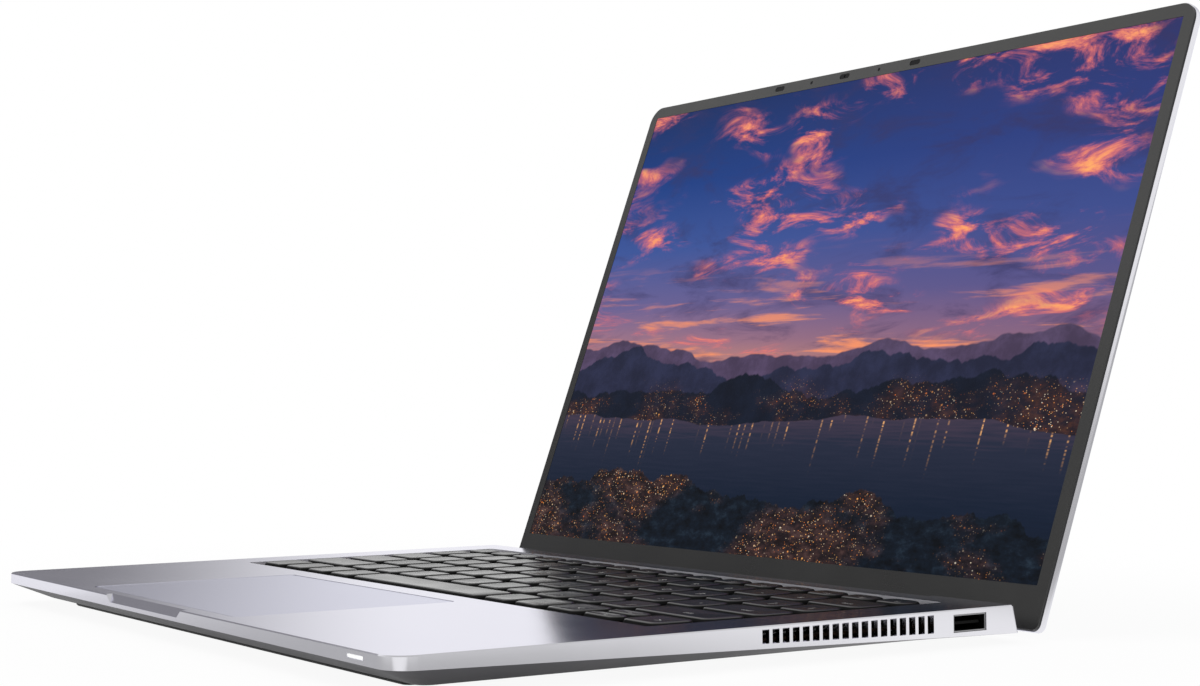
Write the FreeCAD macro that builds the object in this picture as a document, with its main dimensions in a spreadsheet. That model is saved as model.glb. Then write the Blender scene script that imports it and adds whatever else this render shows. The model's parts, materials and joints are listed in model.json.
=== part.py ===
import FreeCAD, Part
import Sketcher
import math
import os
import re

# A 14-inch clamshell laptop with a drop hinge, lid open as it is used.
# Base pieces are drawn from the deck: X from the middle, Y back from the front edge, Z up from its top.
# Lid pieces are drawn lying on their back: Y along the lid from the hinge axis, Z towards the viewer.

Vector = FreeCAD.Vector
X_AXIS = Vector(1, 0, 0)
Y_AXIS = Vector(0, 1, 0)
Z_AXIS = Vector(0, 0, 1)
TINY = 1e-3
STUD_SIDES = 8
doc = FreeCAD.newDocument("Laptop")
sheet = doc.addObject("Spreadsheet::Sheet", "Sizes")

SIZES = [
    # Base casing
    ("base_width", 310.5, "base, left to right"),
    ("base_depth", 206.3, "base, front to back"),
    ("base_height", 9.2, "deck's top to underside"),
    ("foot_height", 2.0, "rubber feet below the underside"),
    ("band_front", 3.7, "height of the bright side band at the front"),
    ("band_rear", 8.4, "height of the bright side band at the rear"),
    ("corner_front", 7.5, "plan radius of the front corners"),
    ("corner_rear", 1.0, "plan radius of the rear corners"),
    ("rear_lean", 1.8, "lean of the rear wall, deck to foot"),
    ("inside_corner", 5.4, "inner corners at the rear"),
    ("corner_under", 4.0, "plan radius of the underside's corners"),
    ("deck_edge", 0.35, "chamfer round the deck"),
    ("case_top", 1.5, "thickness of the deck"),
    ("case_wall", 1.6, "thickness of the side walls"),
    ("cover_wall", 1.0, "thickness of the bottom cover"),
    ("bevel_front", 13.0, "run of the underside's bevel at the front"),
    ("bevel_side", 9.75, "run of the bevel at the sides"),
    ("bevel_rear", 3.8, "run of the bevel at the rear"),
    ("over", 1.0, "how far a cut runs past a face"),
    ("fit", 0.1, "clearance between fixed pieces"),
    ("play", 0.4, "clearance round moving pieces"),
    # Keyboard
    ("key_pitch", 19.05, "key to key, sideways"),
    ("row_pitch", 17.6, "row to row"),
    ("function_pitch", 12.0, "depth of the function row"),
    ("row_units", 14.2, "keys across a row"),
    ("key_rows", 5, "rows of full keys"),
    ("key_gap", 2.2, "gap between keys"),
    ("key_rise", 0.25, "key tops above the deck"),
    ("key_height", 1.9, "height of a keycap"),
    ("key_draft", 0.55, "lean of a keycap's sides"),
    ("key_corner", 1.0, "corner of a keycap"),
    ("key_travel", 1.2, "travel of a key"),
    ("key_roof", 0.7, "thickness of a keycap's top"),
    ("post_width", 8.0, "guide post under a key"),
    ("post_depth", 7.0, "guide post under a key, front to back"),
    ("post_low_depth", 2.6, "guide post under a half key"),
    ("post_gap", 0.3, "pressed key above its guide post"),
    ("keys_front", 90.0, "front of the key rows"),
    ("well_side", 1.75, "well beyond the key rows, each side"),
    ("well_front", 3.0, "well in front of the key rows"),
    ("well_rear", 3.0, "well behind the key rows"),
    ("well_sink", 3.6, "depth of the well"),
    ("well_corner", 2.0, "corner radius of the well"),
    ("plate_thickness", 0.8, "keyboard plate"),
    ("rim", 1.5, "wall round the well"),
    # Touchpad
    ("touchpad_x", -16.5, "middle of the touchpad"),
    ("touchpad_width", 121.0, "touchpad, left to right"),
    ("touchpad_depth", 72.0, "touchpad, front to back"),
    ("touchpad_front", 6.0, "front of the touchpad from the front edge"),
    ("touchpad_thickness", 1.3, "touchpad plate"),
    ("touchpad_corner", 2.0, "corner radius of the touchpad"),
    ("touchpad_edge", 0.25, "chamfer round the touchpad"),
    ("tray_margin", 3.0, "tray beyond the touchpad"),
    ("tray_depth", 1.7, "tray below the deck's inside"),
    ("tray_wall", 0.5, "sheet of the tray"),
    ("click_travel", 0.5, "travel of the touchpad's front edge"),
    ("switch_size", 6.0, "side of the click switch"),
    ("switch_base", 0.25, "height of the switch's base"),
    ("switch_back", 12.0, "switch behind the touchpad's front"),
    ("dome_radius", 2.0, "dome of the click switch"),
    # Front edge
    ("scoop_x", -16.0, "middle of the finger scoop"),
    ("scoop_width", 68.0, "finger scoop, left to right"),
    ("scoop_run", 3.0, "finger scoop, front to back"),
    ("scoop_heel", 0.2, "finger scoop at its lip, front to back"),
    ("scoop_end", 5.0, "slope of the scoop's ends"),
    ("scoop_drop", 2.4, "finger scoop, deck to lip"),
    ("light_x", 135.0, "middle of the status light"),
    ("light_width", 9.0, "status light"),
    ("light_height", 0.95, "status light"),
    ("light_drop", 1.9, "middle of the status light below the deck"),
    ("light_depth", 2.6, "status light into the wall"),
    ("light_corner", 0.3, "cut corners of the status light"),
    # Right side: vent and port
    ("vent_front", 112.5, "front of the first vent slot"),
    ("vent_count", 18, "vent slots"),
    ("vent_pitch", 3.45, "slot to slot"),
    ("vent_slot", 2.35, "width of a slot"),
    ("vent_top", 1.05, "top of the slots below the deck"),
    ("vent_margin", 1.35, "band left under a slot"),
    ("usb_a_y", 187.2, "middle of the type A port"),
    ("usb_a_width", 12.4, "type A shell"),
    ("usb_a_height", 5.0, "type A shell"),
    ("usb_a_depth", 14.0, "type A shell"),
    ("usb_a_drop", 4.05, "middle of the type A port below the deck"),
    ("shell_wall", 0.35, "sheet of a port's shell"),
    ("port_inset", 0.3, "mouth of a port behind the wall's face"),
    ("tongue_margin", 1.4, "tongue inside a port's ends"),
    ("tongue_thickness", 0.8, "tongue of a port"),
    ("tongue_inset", 1.4, "tongue behind a port's mouth"),
    # Left side ports
    ("hdmi_y", 184.0, "middle of the video port"),
    ("hdmi_width", 15.0, "video port shell"),
    ("hdmi_height", 5.4, "video port shell"),
    ("hdmi_depth", 11.5, "video port shell"),
    ("hdmi_corner", 1.6, "cut corners under the video port"),
    ("usb_c_rear_y", 165.5, "middle of the rear type C port"),
    ("usb_c_front_y", 149.5, "middle of the front type C port"),
    ("usb_c_width", 9.0, "type C shell"),
    ("usb_c_height", 3.2, "type C shell"),
    ("usb_c_depth", 8.0, "type C shell"),
    ("usb_c_corner", 1.1, "cut corners of a type C port"),
    ("left_port_drop", 4.3, "middle of the left ports below the deck"),
    # Hinge
    ("hinge_behind", 1.2, "hinge axis behind the base"),
    ("hinge_below", 6.05, "hinge axis below the deck"),
    ("lid_gap", 0.45, "closed lid above the deck"),
    ("lid_lean", 20.576, "lid's lean back from upright"),
    ("notch_width", 240.0, "notch in the rear of the base"),
    ("notch_depth", 4.8, "notch, front to back"),
    ("pin_radius", 2.0, "hinge pin"),
    ("pin_play", 0.15, "hinge pin in its knuckle"),
    ("knuckle_radius", 4.0, "hinge knuckle"),
    ("knuckle_width", 10.5, "hinge knuckle"),
    ("neck_height", 4.0, "neck between bracket and knuckle"),
    ("arm_width", 6.0, "ear of the hinge arm"),
    ("arm_inner", 99.5, "inner face of the hinge arm from the middle"),
    ("arm_gap", 1.0, "between arm and knuckle"),
    ("flange_length", 16.0, "flange of the hinge arm"),
    ("flange_thickness", 1.0, "flange of the hinge arm"),
    ("riser_depth", 4.2, "hinge bracket in the base"),
    ("bar_radius", 4.6, "hinge cover round the axis"),
    # Lid
    ("lid_thickness", 4.0, "lid"),
    ("lid_tail", 0.3, "lid beyond the hinge axis"),
    ("lid_corner", 7.0, "plan radius of the lid's upper corners"),
    ("lid_corner_low", 2.5, "plan radius of the lid's lower corners"),
    ("lid_edge", 2.0, "round of the lid's back edge"),
    ("lid_wall", 1.4, "side wall of the lid cover"),
    ("lid_floor", 1.0, "back wall of the lid cover"),
    ("bezel_thickness", 0.7, "screen bezel"),
    ("bezel_inset", 0.4, "bezel inside the lid's outline"),
    ("screen_width", 300.5, "lit picture"),
    ("screen_height", 188.6, "lit picture"),
    ("screen_top", 5.2, "lid's top edge to the picture"),
    ("panel_side", 1.8, "panel beyond the picture at the sides"),
    ("panel_top", 1.4, "panel beyond the picture at the top"),
    ("panel_foot", 3.8, "panel beyond the picture at the foot"),
    ("dot_x", -22.1, "camera from the middle"),
    ("dot_step", 20.6, "dot to dot"),
    ("dot_drop", 2.6, "dots below the lid's top edge"),
    ("window_length", 5.6, "camera and infrared windows"),
    ("window_height", 1.8, "camera and infrared windows"),
    ("window_corner", 0.6, "cut corners of a window"),
    ("lens_radius", 0.55, "dish of the camera lens"),
    ("lens_depth", 0.2, "dish of the camera lens"),
    ("sensor_radius", 0.65, "light sensor window"),
    ("camera_board_length", 107.0, "camera board"),
    ("camera_gap", 0.9, "camera board behind the bezel"),
    # Cooling
    ("fan_x", 103.5, "fan axis"),
    ("fan_y", 143.0, "fan axis"),
    ("fan_radius", 24.0, "fan housing"),
    ("fan_height", 3.4, "fan housing"),
    ("fan_wall", 0.5, "fan housing"),
    ("fan_inlet", 14.0, "radius of the air inlet"),
    ("rotor_radius", 21.5, "fan blades' tips"),
    ("hub_radius", 9.0, "fan hub"),
    ("blade_count", 20, "fan blades"),
    ("blade_thickness", 0.7, "fan blade"),
    ("blade_sweep", 5.4, "sweep of a blade at its tip"),
    ("spindle_radius", 1.5, "fan spindle"),
    ("spindle_play", 0.2, "fan hub round its spindle"),
    ("fin_count", 20, "cooling fins"),
    ("fin_thickness", 0.4, "cooling fin"),
    ("fin_depth", 10.0, "cooling fins, along the air"),
    ("fin_height", 2.1, "cooling fins"),
    ("fin_gap", 0.3, "cooling fins from the cover's wall"),
    ("pipe_width", 6.0, "heat pipe"),
    ("pipe_height", 0.9, "heat pipe"),
    ("pipe_bend", 6.0, "inner bend of the heat pipe"),
    ("intake_count", 9, "intake slots in the bottom cover"),
    ("intake_pitch", 4.5, "slot to slot"),
    ("intake_slot", 2.2, "width of an intake slot"),
    ("intake_length", 34.0, "length of an intake slot"),
    # Slots under a speaker
    ("sound_count", 6, "sound slots under a speaker"),
    ("sound_pitch", 3.0, "slot to slot"),
    ("sound_slot", 1.2, "width of a sound slot"),
    ("sound_length", 10.0, "length of a sound slot"),
    # Boards and battery
    ("board_thickness", 0.8, "mainboard"),
    ("board_stand", 0.5, "mainboard above the cover"),
    ("board_corner", 3.0, "cut corners of the mainboard"),
    ("board_left", -132.0, "mainboard's left edge"),
    ("board_right", 78.0, "mainboard's right edge"),
    ("board_front", 93.0, "mainboard's front edge"),
    ("board_back", 190.0, "mainboard's rear edge"),
    ("chip_height", 1.0, "chips and cards on the mainboard"),
    ("processor_x", 30.0, "processor"),
    ("processor_y", 176.0, "processor"),
    ("processor_width", 34.0, "processor"),
    ("processor_depth", 24.0, "processor"),
    ("memory_count", 4, "memory chips"),
    ("memory_pitch", 22.8, "memory chip to memory chip"),
    ("memory_y", 123.5, "middle of the memory chips"),
    ("memory_width", 14.0, "memory chip"),
    ("memory_depth", 9.0, "memory chip"),
    ("ssd_left", -82.0, "left end of the solid state drive"),
    ("ssd_length", 80.0, "solid state drive"),
    ("card_front", 143.0, "front of the drive and the wireless card"),
    ("card_width", 22.0, "drive and wireless card"),
    ("chip_corner", 0.8, "cut corners of chips, cards, cells and panel"),
    ("wireless_left", -122.0, "left end of the wireless card"),
    ("wireless_length", 30.0, "wireless card"),
    ("battery_width", 228.0, "battery pack"),
    ("battery_depth", 57.0, "battery pack"),
    ("battery_front", 20.0, "battery's front edge"),
    ("battery_height", 4.2, "battery pack"),
    ("battery_wall", 1.2, "battery frame"),
    ("battery_floor", 0.6, "sheet under the cells"),
    ("cell_count", 3, "battery cells"),
    ("speaker_x", 132.0, "middle of a speaker"),
    ("speaker_width", 16.0, "speaker"),
    ("speaker_depth", 54.0, "speaker"),
    ("speaker_front", 24.0, "speaker's front edge"),
    ("speaker_height", 4.0, "speaker"),
    ("speaker_corner", 3.0, "cut corners of a speaker"),
    # Feet and screws
    ("foot_length", 260.0, "rubber foot"),
    ("foot_width", 7.0, "rubber foot"),
    ("foot_front_y", 20.3, "middle of the front foot"),
    ("foot_rear_y", 186.0, "middle of the rear foot"),
    ("foot_edge", 0.6, "round of a foot's edge"),
    ("screw_head", 2.4, "radius of a screw's head"),
    ("screw_head_height", 0.6, "screw's head"),
    ("screw_shank", 1.0, "radius of a screw's shank"),
    ("screw_length", 5.0, "screw"),
    ("boss_radius", 2.4, "screw boss in the case"),
    ("screw_side", 117.5, "front and middle screws from the middle"),
    ("screw_corner", 138.0, "rear screws from the middle"),
    ("screw_front_y", 30.0, "front screws"),
    ("screw_middle_y", 81.8, "middle screws"),
    ("screw_rear_y", 197.2, "rear screws"),
]

for row, (alias, value, note) in enumerate(SIZES, 1):
    sheet.set(f"A{row}", note)
    sheet.set(f"B{row}", str(value))
    sheet.setAlias(f"B{row}", alias)
doc.recompute()
ALIASES = {alias for alias, value, note in SIZES}

# Places worked out from the sizes above
HALF = "base_width / 2"
KEYS_LEFT = "-row_units * key_pitch / 2"
KEYS_BACK = "(keys_front + key_rows * row_pitch + function_pitch)"
WELL_HALF = "(row_units * key_pitch / 2 + well_side)"
WELL_FRONT = "(keys_front - well_front)"
WELL_BACK = f"({KEYS_BACK} + well_rear)"
PLATE_LOW = "(-well_sink - plate_thickness)"
NOTCH_FRONT = "(base_depth - notch_depth)"
INSIDE_BACK = f"({NOTCH_FRONT} - case_wall)"
FLOOR = "(cover_wall - base_height)"
HINGE_Y = "(base_depth + hinge_behind)"
HINGE_RISE = "(hinge_below + lid_gap)"
LID_TOP = HINGE_Y
SCREEN_HIGH = f"({LID_TOP} - screen_top)"
SCREEN_LOW = f"({SCREEN_HIGH} - screen_height)"
PANEL_BACK = "(lid_floor - lid_thickness)"
DOT_Y = f"({LID_TOP} - dot_drop)"
SLOPE = "((band_rear - band_front) / base_depth)"
BOARD_LOW = f"({FLOOR} + board_stand)"
BOARD_TOP = f"({BOARD_LOW} + board_thickness)"
CHIP_TOP = f"({BOARD_TOP} + chip_height)"
FAN_LOW = f"({FLOOR} + fit)"
FAN_TOP = f"({FAN_LOW} + fan_height)"
TRAY_LOW = "(-case_top - tray_depth)"
FIN_RIGHT = "(base_width / 2 - bevel_side - fin_gap)"
SPEAKER_Y = "(speaker_front + speaker_depth / 2)"
SWITCH_Y = "(touchpad_front + switch_back)"
CAMERA_TOP = "(-bezel_thickness - camera_gap)"
EAR_LOW = "(lid_wall - lid_tail + fit)"
EAR_HIGH = "(bar_radius + over - play)"
KNUCKLE_IN = "(arm_inner + arm_width + arm_gap)"
KNUCKLE_OUT = f"({KNUCKLE_IN} + knuckle_width)"


def tie(text):
    """An expression on the sheet's cells, from plain words."""
    def cell(word):
        return "Sizes." + word[0] if word[0] in ALIASES else word[0]

    return re.sub(r"[a-z][a-z_]*", cell, text)


def number(text):
    """The value of an expression."""
    return float(sheet.evalExpression(text))


def plane(item, role):
    """One of a body's own origin planes."""
    for feature in item.Origin.OriginFeatures:
        if feature.Role == role:
            return feature
    raise ValueError(role)


def body(name):
    """An empty body for sketched features."""
    return doc.addObject("PartDesign::Body", name)


def sketch(item, name, role="XY_Plane", offset="0"):
    """A sketch on one of a body's planes, lifted off it by an expression."""
    profile = item.newObject("Sketcher::SketchObject", name)
    profile.AttachmentSupport = [(plane(item, role), "")]
    profile.MapMode = "FlatFace"
    profile.setExpression("AttachmentOffset.Base.z", tie(offset))
    return profile


def pin(profile, kind, line, end, text):
    """Ties one point of a sketch to an expression."""
    index = profile.addConstraint(Sketcher.Constraint(kind, -1, 1, line, end, number(text)))
    profile.setExpression(f"Constraints[{index}]", tie(text))


def polygon(profile, points):
    """A closed outline of straight sides, each corner tied to two expressions."""
    corners = [Vector(number(across), number(up), 0) for across, up in points]
    first = profile.GeometryCount
    count = len(corners)
    for k in range(count):
        profile.addGeometry(Part.LineSegment(corners[k], corners[(k + 1) % count]), False)
    for k in range(count):
        profile.addConstraint(Sketcher.Constraint("Coincident", first + k, 2, first + (k + 1) % count, 1))
    for k, (across, up) in enumerate(points):
        pin(profile, "DistanceX", first + k, 1, across)
        pin(profile, "DistanceY", first + k, 1, up)


def circle(profile, across, up, radius):
    """A circle with its centre and radius tied to expressions."""
    centre = Vector(number(across), number(up), 0)
    index = profile.addGeometry(Part.Circle(centre, Z_AXIS, number(radius)), False)
    pin(profile, "DistanceX", index, 3, across)
    pin(profile, "DistanceY", index, 3, up)
    size = profile.addConstraint(Sketcher.Constraint("Radius", index, number(radius)))
    profile.setExpression(f"Constraints[{size}]", tie(radius))


def rounded(profile, left, right, low, high, radius_low, radius_high):
    """A rectangle with round corners, the low pair and the high pair with their own radius."""
    x0, x1, y0, y1 = number(left), number(right), number(low), number(high)
    r0, r1 = number(radius_low), number(radius_high)
    sides = [
        ((x0 + r0, y0), (x1 - r0, y0), (x1 - r0, y0 + r0), r0, -90),
        ((x1, y0 + r0), (x1, y1 - r1), (x1 - r1, y1 - r1), r1, 0),
        ((x1 - r1, y1), (x0 + r1, y1), (x0 + r1, y1 - r1), r1, 90),
        ((x0, y1 - r1), (x0, y0 + r0), (x0 + r0, y0 + r0), r0, 180),
    ]
    first = profile.GeometryCount
    for start, end, centre, radius, angle in sides:
        profile.addGeometry(Part.LineSegment(Vector(*start), Vector(*end)), False)
        ring = Part.Circle(Vector(*centre), Z_AXIS, radius)
        turn = math.radians(angle)
        profile.addGeometry(Part.ArcOfCircle(ring, turn, turn + math.pi / 2), False)
    for k in range(8):
        profile.addConstraint(Sketcher.Constraint("Tangent", first + k, 2, first + (k + 1) % 8, 1))
    for k, kind in enumerate(("Horizontal", "Vertical", "Horizontal", "Vertical")):
        profile.addConstraint(Sketcher.Constraint(kind, first + 2 * k))
    for k, text in enumerate((radius_low, radius_high, radius_high, radius_low)):
        index = profile.addConstraint(Sketcher.Constraint("Radius", first + 2 * k + 1, number(text)))
        profile.setExpression(f"Constraints[{index}]", tie(text))
    pin(profile, "DistanceY", first, 1, low)
    pin(profile, "DistanceX", first + 2, 1, right)
    pin(profile, "DistanceY", first + 4, 1, high)
    pin(profile, "DistanceX", first + 6, 1, left)


def pad(item, profile, length, downward=False, middle=False):
    """A sketch drawn out, upwards by default."""
    feature = item.newObject("PartDesign::Pad", profile.Name + "Pad")
    feature.Profile = profile
    feature.setExpression("Length", tie(length))
    feature.Reversed = downward
    if middle:
        feature.SideType = "Symmetric"
    doc.recompute()
    return feature


def pocket(item, profile, length, upward=False, middle=False):
    """A cut along the sketch, downwards by default, that has to take something away."""
    before = item.Shape.Volume
    feature = item.newObject("PartDesign::Pocket", profile.Name + "Pocket")
    feature.Profile = profile
    feature.setExpression("Length", tie(length))
    feature.Reversed = upward
    if middle:
        feature.SideType = "Symmetric"
    doc.recompute()
    if item.Shape.Volume > before - TINY:
        raise ValueError(profile.Name + " cuts nothing")
    return feature


def dress(item, kind, size, chosen):
    """A fillet or chamfer of a body on the edges that a test picks."""
    base = item.Tip
    names = [f"Edge{k}" for k, edge in enumerate(base.Shape.Edges, 1) if chosen(edge)]
    feature = item.newObject("PartDesign::" + kind, item.Name + kind)
    feature.Base = (base, names)
    feature.setExpression("Radius" if kind == "Fillet" else "Size", tie(size))
    doc.recompute()


def at_height(text):
    """Picks the edges that lie flat at one height."""
    level = number(text)
    return lambda edge: max(abs(edge.BoundBox.ZMin - level), abs(edge.BoundBox.ZMax - level)) < TINY


def steep(edge):
    """Picks the edges that rise or fall."""
    return edge.BoundBox.ZLength > TINY


def upright(edge):
    """Picks the straight edges along Z."""
    return steep(edge) and edge.BoundBox.XLength + edge.BoundBox.YLength < TINY


def sideways(edge):
    """Picks the straight edges along X."""
    return edge.BoundBox.XLength > TINY and edge.BoundBox.YLength + edge.BoundBox.ZLength < TINY


def lengthways(edge):
    """Picks the straight edges along Y."""
    return edge.BoundBox.YLength > TINY and edge.BoundBox.XLength + edge.BoundBox.ZLength < TINY


def place(item, x, y, z):
    """Ties an object's place to three expressions."""
    for axis, text in zip("xyz", (x, y, z)):
        item.setExpression("Placement.Base." + axis, tie(text))


def box(name, left, right, front, back, low, high):
    """A block between six expressions."""
    item = doc.addObject("Part::Box", name)
    for side, start, end in (("Length", left, right), ("Width", front, back), ("Height", low, high)):
        item.setExpression(side, tie(f"({end}) - ({start})"))
    place(item, left, front, low)
    return item


def post(name, x, y, low, high, radius):
    """An upright cylinder."""
    item = doc.addObject("Part::Cylinder", name)
    item.setExpression("Radius", tie(radius))
    item.setExpression("Height", tie(f"({high}) - ({low})"))
    place(item, x, y, low)
    return item


def stud(name, x, y, low, high, radius):
    """An eight-sided post, for small pieces that repeat."""
    item = doc.addObject("Part::Prism", name)
    item.Polygon = STUD_SIDES
    item.setExpression("Circumradius", tie(radius))
    item.setExpression("Height", tie(f"({high}) - ({low})"))
    place(item, x, y, low)
    return item


def rod(name, left, right, y, z, radius):
    """A cylinder along X."""
    item = post(name, left, y, z, f"({z}) + ({right}) - ({left})", radius)
    item.Placement.Rotation = FreeCAD.Rotation(Y_AXIS, 90)
    return item


def group(name, items):
    """Separate solids kept together."""
    item = doc.addObject("Part::Compound", name)
    item.Links = items
    return item


def fuse(name, items):
    """Several solids as one."""
    item = doc.addObject("Part::MultiFuse", name)
    item.Shapes = items
    return item


def cut(name, base, tools):
    """A solid with the tools taken away."""
    item = doc.addObject("Part::Cut", name)
    item.Base = base
    item.Tool = tools[0] if len(tools) == 1 else group(name + "Tools", tools)
    return item


def trim(name, base, size, chosen=upright):
    """Cuts off the edges of a solid that a test picks."""
    base.recompute()
    inset = number(size)
    item = doc.addObject("Part::Chamfer", name)
    item.Base = base
    item.Edges = [(k, inset, inset) for k, edge in enumerate(base.Shape.Edges, 1) if chosen(edge)]
    return item


PIECES = []
lean = math.radians(number("lid_lean"))
lid_rotation = FreeCAD.Rotation(X_AXIS, 90 - number("lid_lean"))
lid_foot_y = number(HINGE_Y) + number(HINGE_RISE) * math.cos(lean)
lid_foot_z = -number("hinge_below") - number(HINGE_RISE) * math.sin(lean)

# The origin is on the table under the middle of the open laptop's box.
rear_reach = lid_foot_y + number(f"{LID_TOP} - lid_edge") * math.sin(lean)
rear_reach += number("lid_thickness - lid_edge") * math.cos(lean) + number("lid_edge")
front_edge = -rear_reach / 2
deck_top = number("base_height + foot_height")
BASE_PLACE = FreeCAD.Placement(Vector(0, front_edge, deck_top), FreeCAD.Rotation())
LID_PLACE = FreeCAD.Placement(Vector(0, front_edge + lid_foot_y, deck_top + lid_foot_z), lid_rotation)


def piece(label, item, where=BASE_PLACE):
    """Names a finished sub-part and puts it in its place."""
    item.Label = label
    item.Placement = where
    PIECES.append(item)


def mirrored(label, make):
    """The right-hand piece and its mirror twin, from one function of the side's sign."""
    for side, sign in (("right", 1), ("left", -1)):
        make(f"{label}_{side}", sign)


def span(sign, inner, outer):
    """The left and right ends of a stretch that lies at one side of the middle."""
    return (inner, outer) if sign > 0 else (f"-({outer})", f"-({inner})")


# Keyboard layout: for each row from the front, the nodes with their key widths in key pitches
FUNCTION_KEYS = 16
ARROW = 1.1
FUNCTION = number("row_units") / FUNCTION_KEYS
KEY_ROWS = [
    [("left_modifier_keys", [1.0] * 4), ("space_bar", [4.9]), ("right_modifier_keys", [1.0] * 2),
     ("arrow_left", [ARROW]), ("arrow_up_down", [ARROW]), ("arrow_right", [ARROW])],
    [("left_shift", [2.0]), ("bottom_letter_keys", [1.0] * 10), ("right_shift", [2.2])],
    [("caps_lock", [1.5]), ("home_letter_keys", [1.0] * 11), ("enter", [1.7])],
    [("tab", [1.25]), ("top_letter_keys", [1.0] * 12 + [0.95])],
    [("number_keys", [0.75] + [1.0] * 12), ("backspace", [1.45])],
    [("function_keys", [FUNCTION] * (FUNCTION_KEYS - 1)), ("power_key", [FUNCTION])],
]


def keycap(name, x, y, width, depth, guide):
    """A keycap with leaning sides and cut corners, hollow where its guide post enters."""
    item = doc.addObject("Part::Wedge", name + "Block")
    for end, sign in (("min", "-"), ("max", "")):
        item.setExpression("X" + end, tie(f"{sign}({width}) / 2"))
        item.setExpression("Z" + end, tie(f"{sign}({depth}) / 2"))
        item.setExpression("X2" + end, tie(f"{sign}(({width}) / 2 - key_draft)"))
        item.setExpression("Z2" + end, tie(f"{sign}(({depth}) / 2 - key_draft)"))
    item.setExpression("Ymin", "0")
    item.setExpression("Ymax", tie("key_height"))
    item.Placement.Rotation = FreeCAD.Rotation(X_AXIS, 90)
    place(item, x, y, "key_rise - key_height")
    cap = trim(name + "Cap", item, "key_corner", steep)
    hollow = box(name + "Hollow", f"{x} - post_width / 2 - play", f"{x} + post_width / 2 + play",
                 f"{y} - {guide} / 2 - play", f"{y} + {guide} / 2 + play",
                 "key_rise - key_height - over", "key_rise - key_roof")
    return cut(name, cap, [hollow])


def guide_post(name, x, y, guide):
    """The post of the keyboard plate that guides one key."""
    return box(name, f"{x} - post_width / 2", f"{x} + post_width / 2",
               f"{y} - {guide} / 2", f"{y} + {guide} / 2",
               "-well_sink - plate_thickness / 2", "key_rise - key_roof - key_travel - post_gap")


def keyboard():
    """All keys, grouped by node, and the plate that carries them."""
    posts = []
    for row, nodes in enumerate(KEY_ROWS):
        last = row == len(KEY_ROWS) - 1
        pitch = "function_pitch" if last else "row_pitch"
        middle = f"(keys_front + {row} * row_pitch + {pitch} / 2)"
        passed = 0.0
        for node, widths in nodes:
            keys = {}
            for units in widths:
                x = f"({KEYS_LEFT} + {passed + units / 2} * key_pitch)"
                width = f"{units} * key_pitch - key_gap"
                passed += units
                halves = [(node, middle, f"{pitch} - key_gap", "post_depth")]
                if node == "arrow_up_down":
                    low = f"{pitch} / 2 - key_gap / 2 - play"
                    lift = f"({pitch} / 4 - key_gap / 4 + play / 2)"
                    halves = [("arrow_down", f"({middle} - {lift})", low, "post_low_depth"),
                              ("arrow_up", f"({middle} + {lift})", low, "post_low_depth")]
                for label, y, depth, guide in halves:
                    name = f"{label}_{len(keys.get(label, []))}"
                    keys.setdefault(label, []).append(keycap(name, x, y, width, depth, guide))
                    posts.append(guide_post(name + "Post", x, y, guide))
            for label, caps in keys.items():
                piece(label, group(label + "Keys", caps))
    sheet_metal = box("PlateSheet", f"-{WELL_HALF} - rim", f"{WELL_HALF} + rim",
                      f"{WELL_FRONT} - rim", f"{WELL_BACK} + rim", PLATE_LOW, "-well_sink")
    piece("keyboard_plate", fuse("KeyboardPlate", [sheet_metal] + posts))


SCREWS = [(f"{sign} * {x}", y) for sign in (-1, 1)
          for x, y in (("screw_side", "screw_front_y"), ("screw_side", "screw_middle_y"),
                       ("screw_corner", "screw_rear_y"))]

# Each port: side, middle, width, height, depth, drop below the deck and cut corners
PORTS = [
    ("usb_a_port", 1, "usb_a_y", "usb_a_width", "usb_a_height", "usb_a_depth", "usb_a_drop", "0"),
    ("hdmi_port", -1, "hdmi_y", "hdmi_width", "hdmi_height", "hdmi_depth", "left_port_drop", "hdmi_corner"),
    ("usb_c_port_rear", -1, "usb_c_rear_y", "usb_c_width", "usb_c_height", "usb_c_depth", "left_port_drop",
     "usb_c_corner"),
    ("usb_c_port_front", -1, "usb_c_front_y", "usb_c_width", "usb_c_height", "usb_c_depth", "left_port_drop",
     "usb_c_corner"),
]


def sleeve(name, ends, y, width, height, drop, corner, grow):
    """A bar along X with the section of a port. A video port has only its lower corners cut."""
    block = box(name, *ends, f"{y} - {width} / 2 - {grow}", f"{y} + {width} / 2 + {grow}",
                f"-{drop} - {height} / 2 - {grow}", f"-{drop} + {height} / 2 + {grow}")
    if corner == "0":
        return block
    middle = -number(drop)
    low_only = corner == "hdmi_corner"
    return trim(name + "Trim", block, corner,
                lambda edge: sideways(edge) and not (low_only and edge.BoundBox.ZMin > middle))


def port_mouths(name):
    """The cuts round the ports, as deep as their shells."""
    cuts = []
    for label, sign, y, width, height, depth, drop, corner in PORTS:
        ends = span(sign, f"{HALF} - port_inset - {depth} - fit", f"{HALF} + over")
        cuts.append(sleeve(f"{label}{name}", ends, y, width, height, drop, corner, "fit"))
    return cuts


def hinge_necks(name):
    """The cuts round the necks of the hinge brackets."""
    cuts = []
    for sign in (1, -1):
        ends = span(sign, f"{KNUCKLE_IN} - play", f"{KNUCKLE_OUT} + play")
        cuts.append(box(f"{name}{sign + 1}", *ends, f"{INSIDE_BACK} - over", f"{NOTCH_FRONT} + over",
                        "-hinge_below - neck_height / 2 - play", "-hinge_below + neck_height / 2 + play"))
    return cuts


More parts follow.
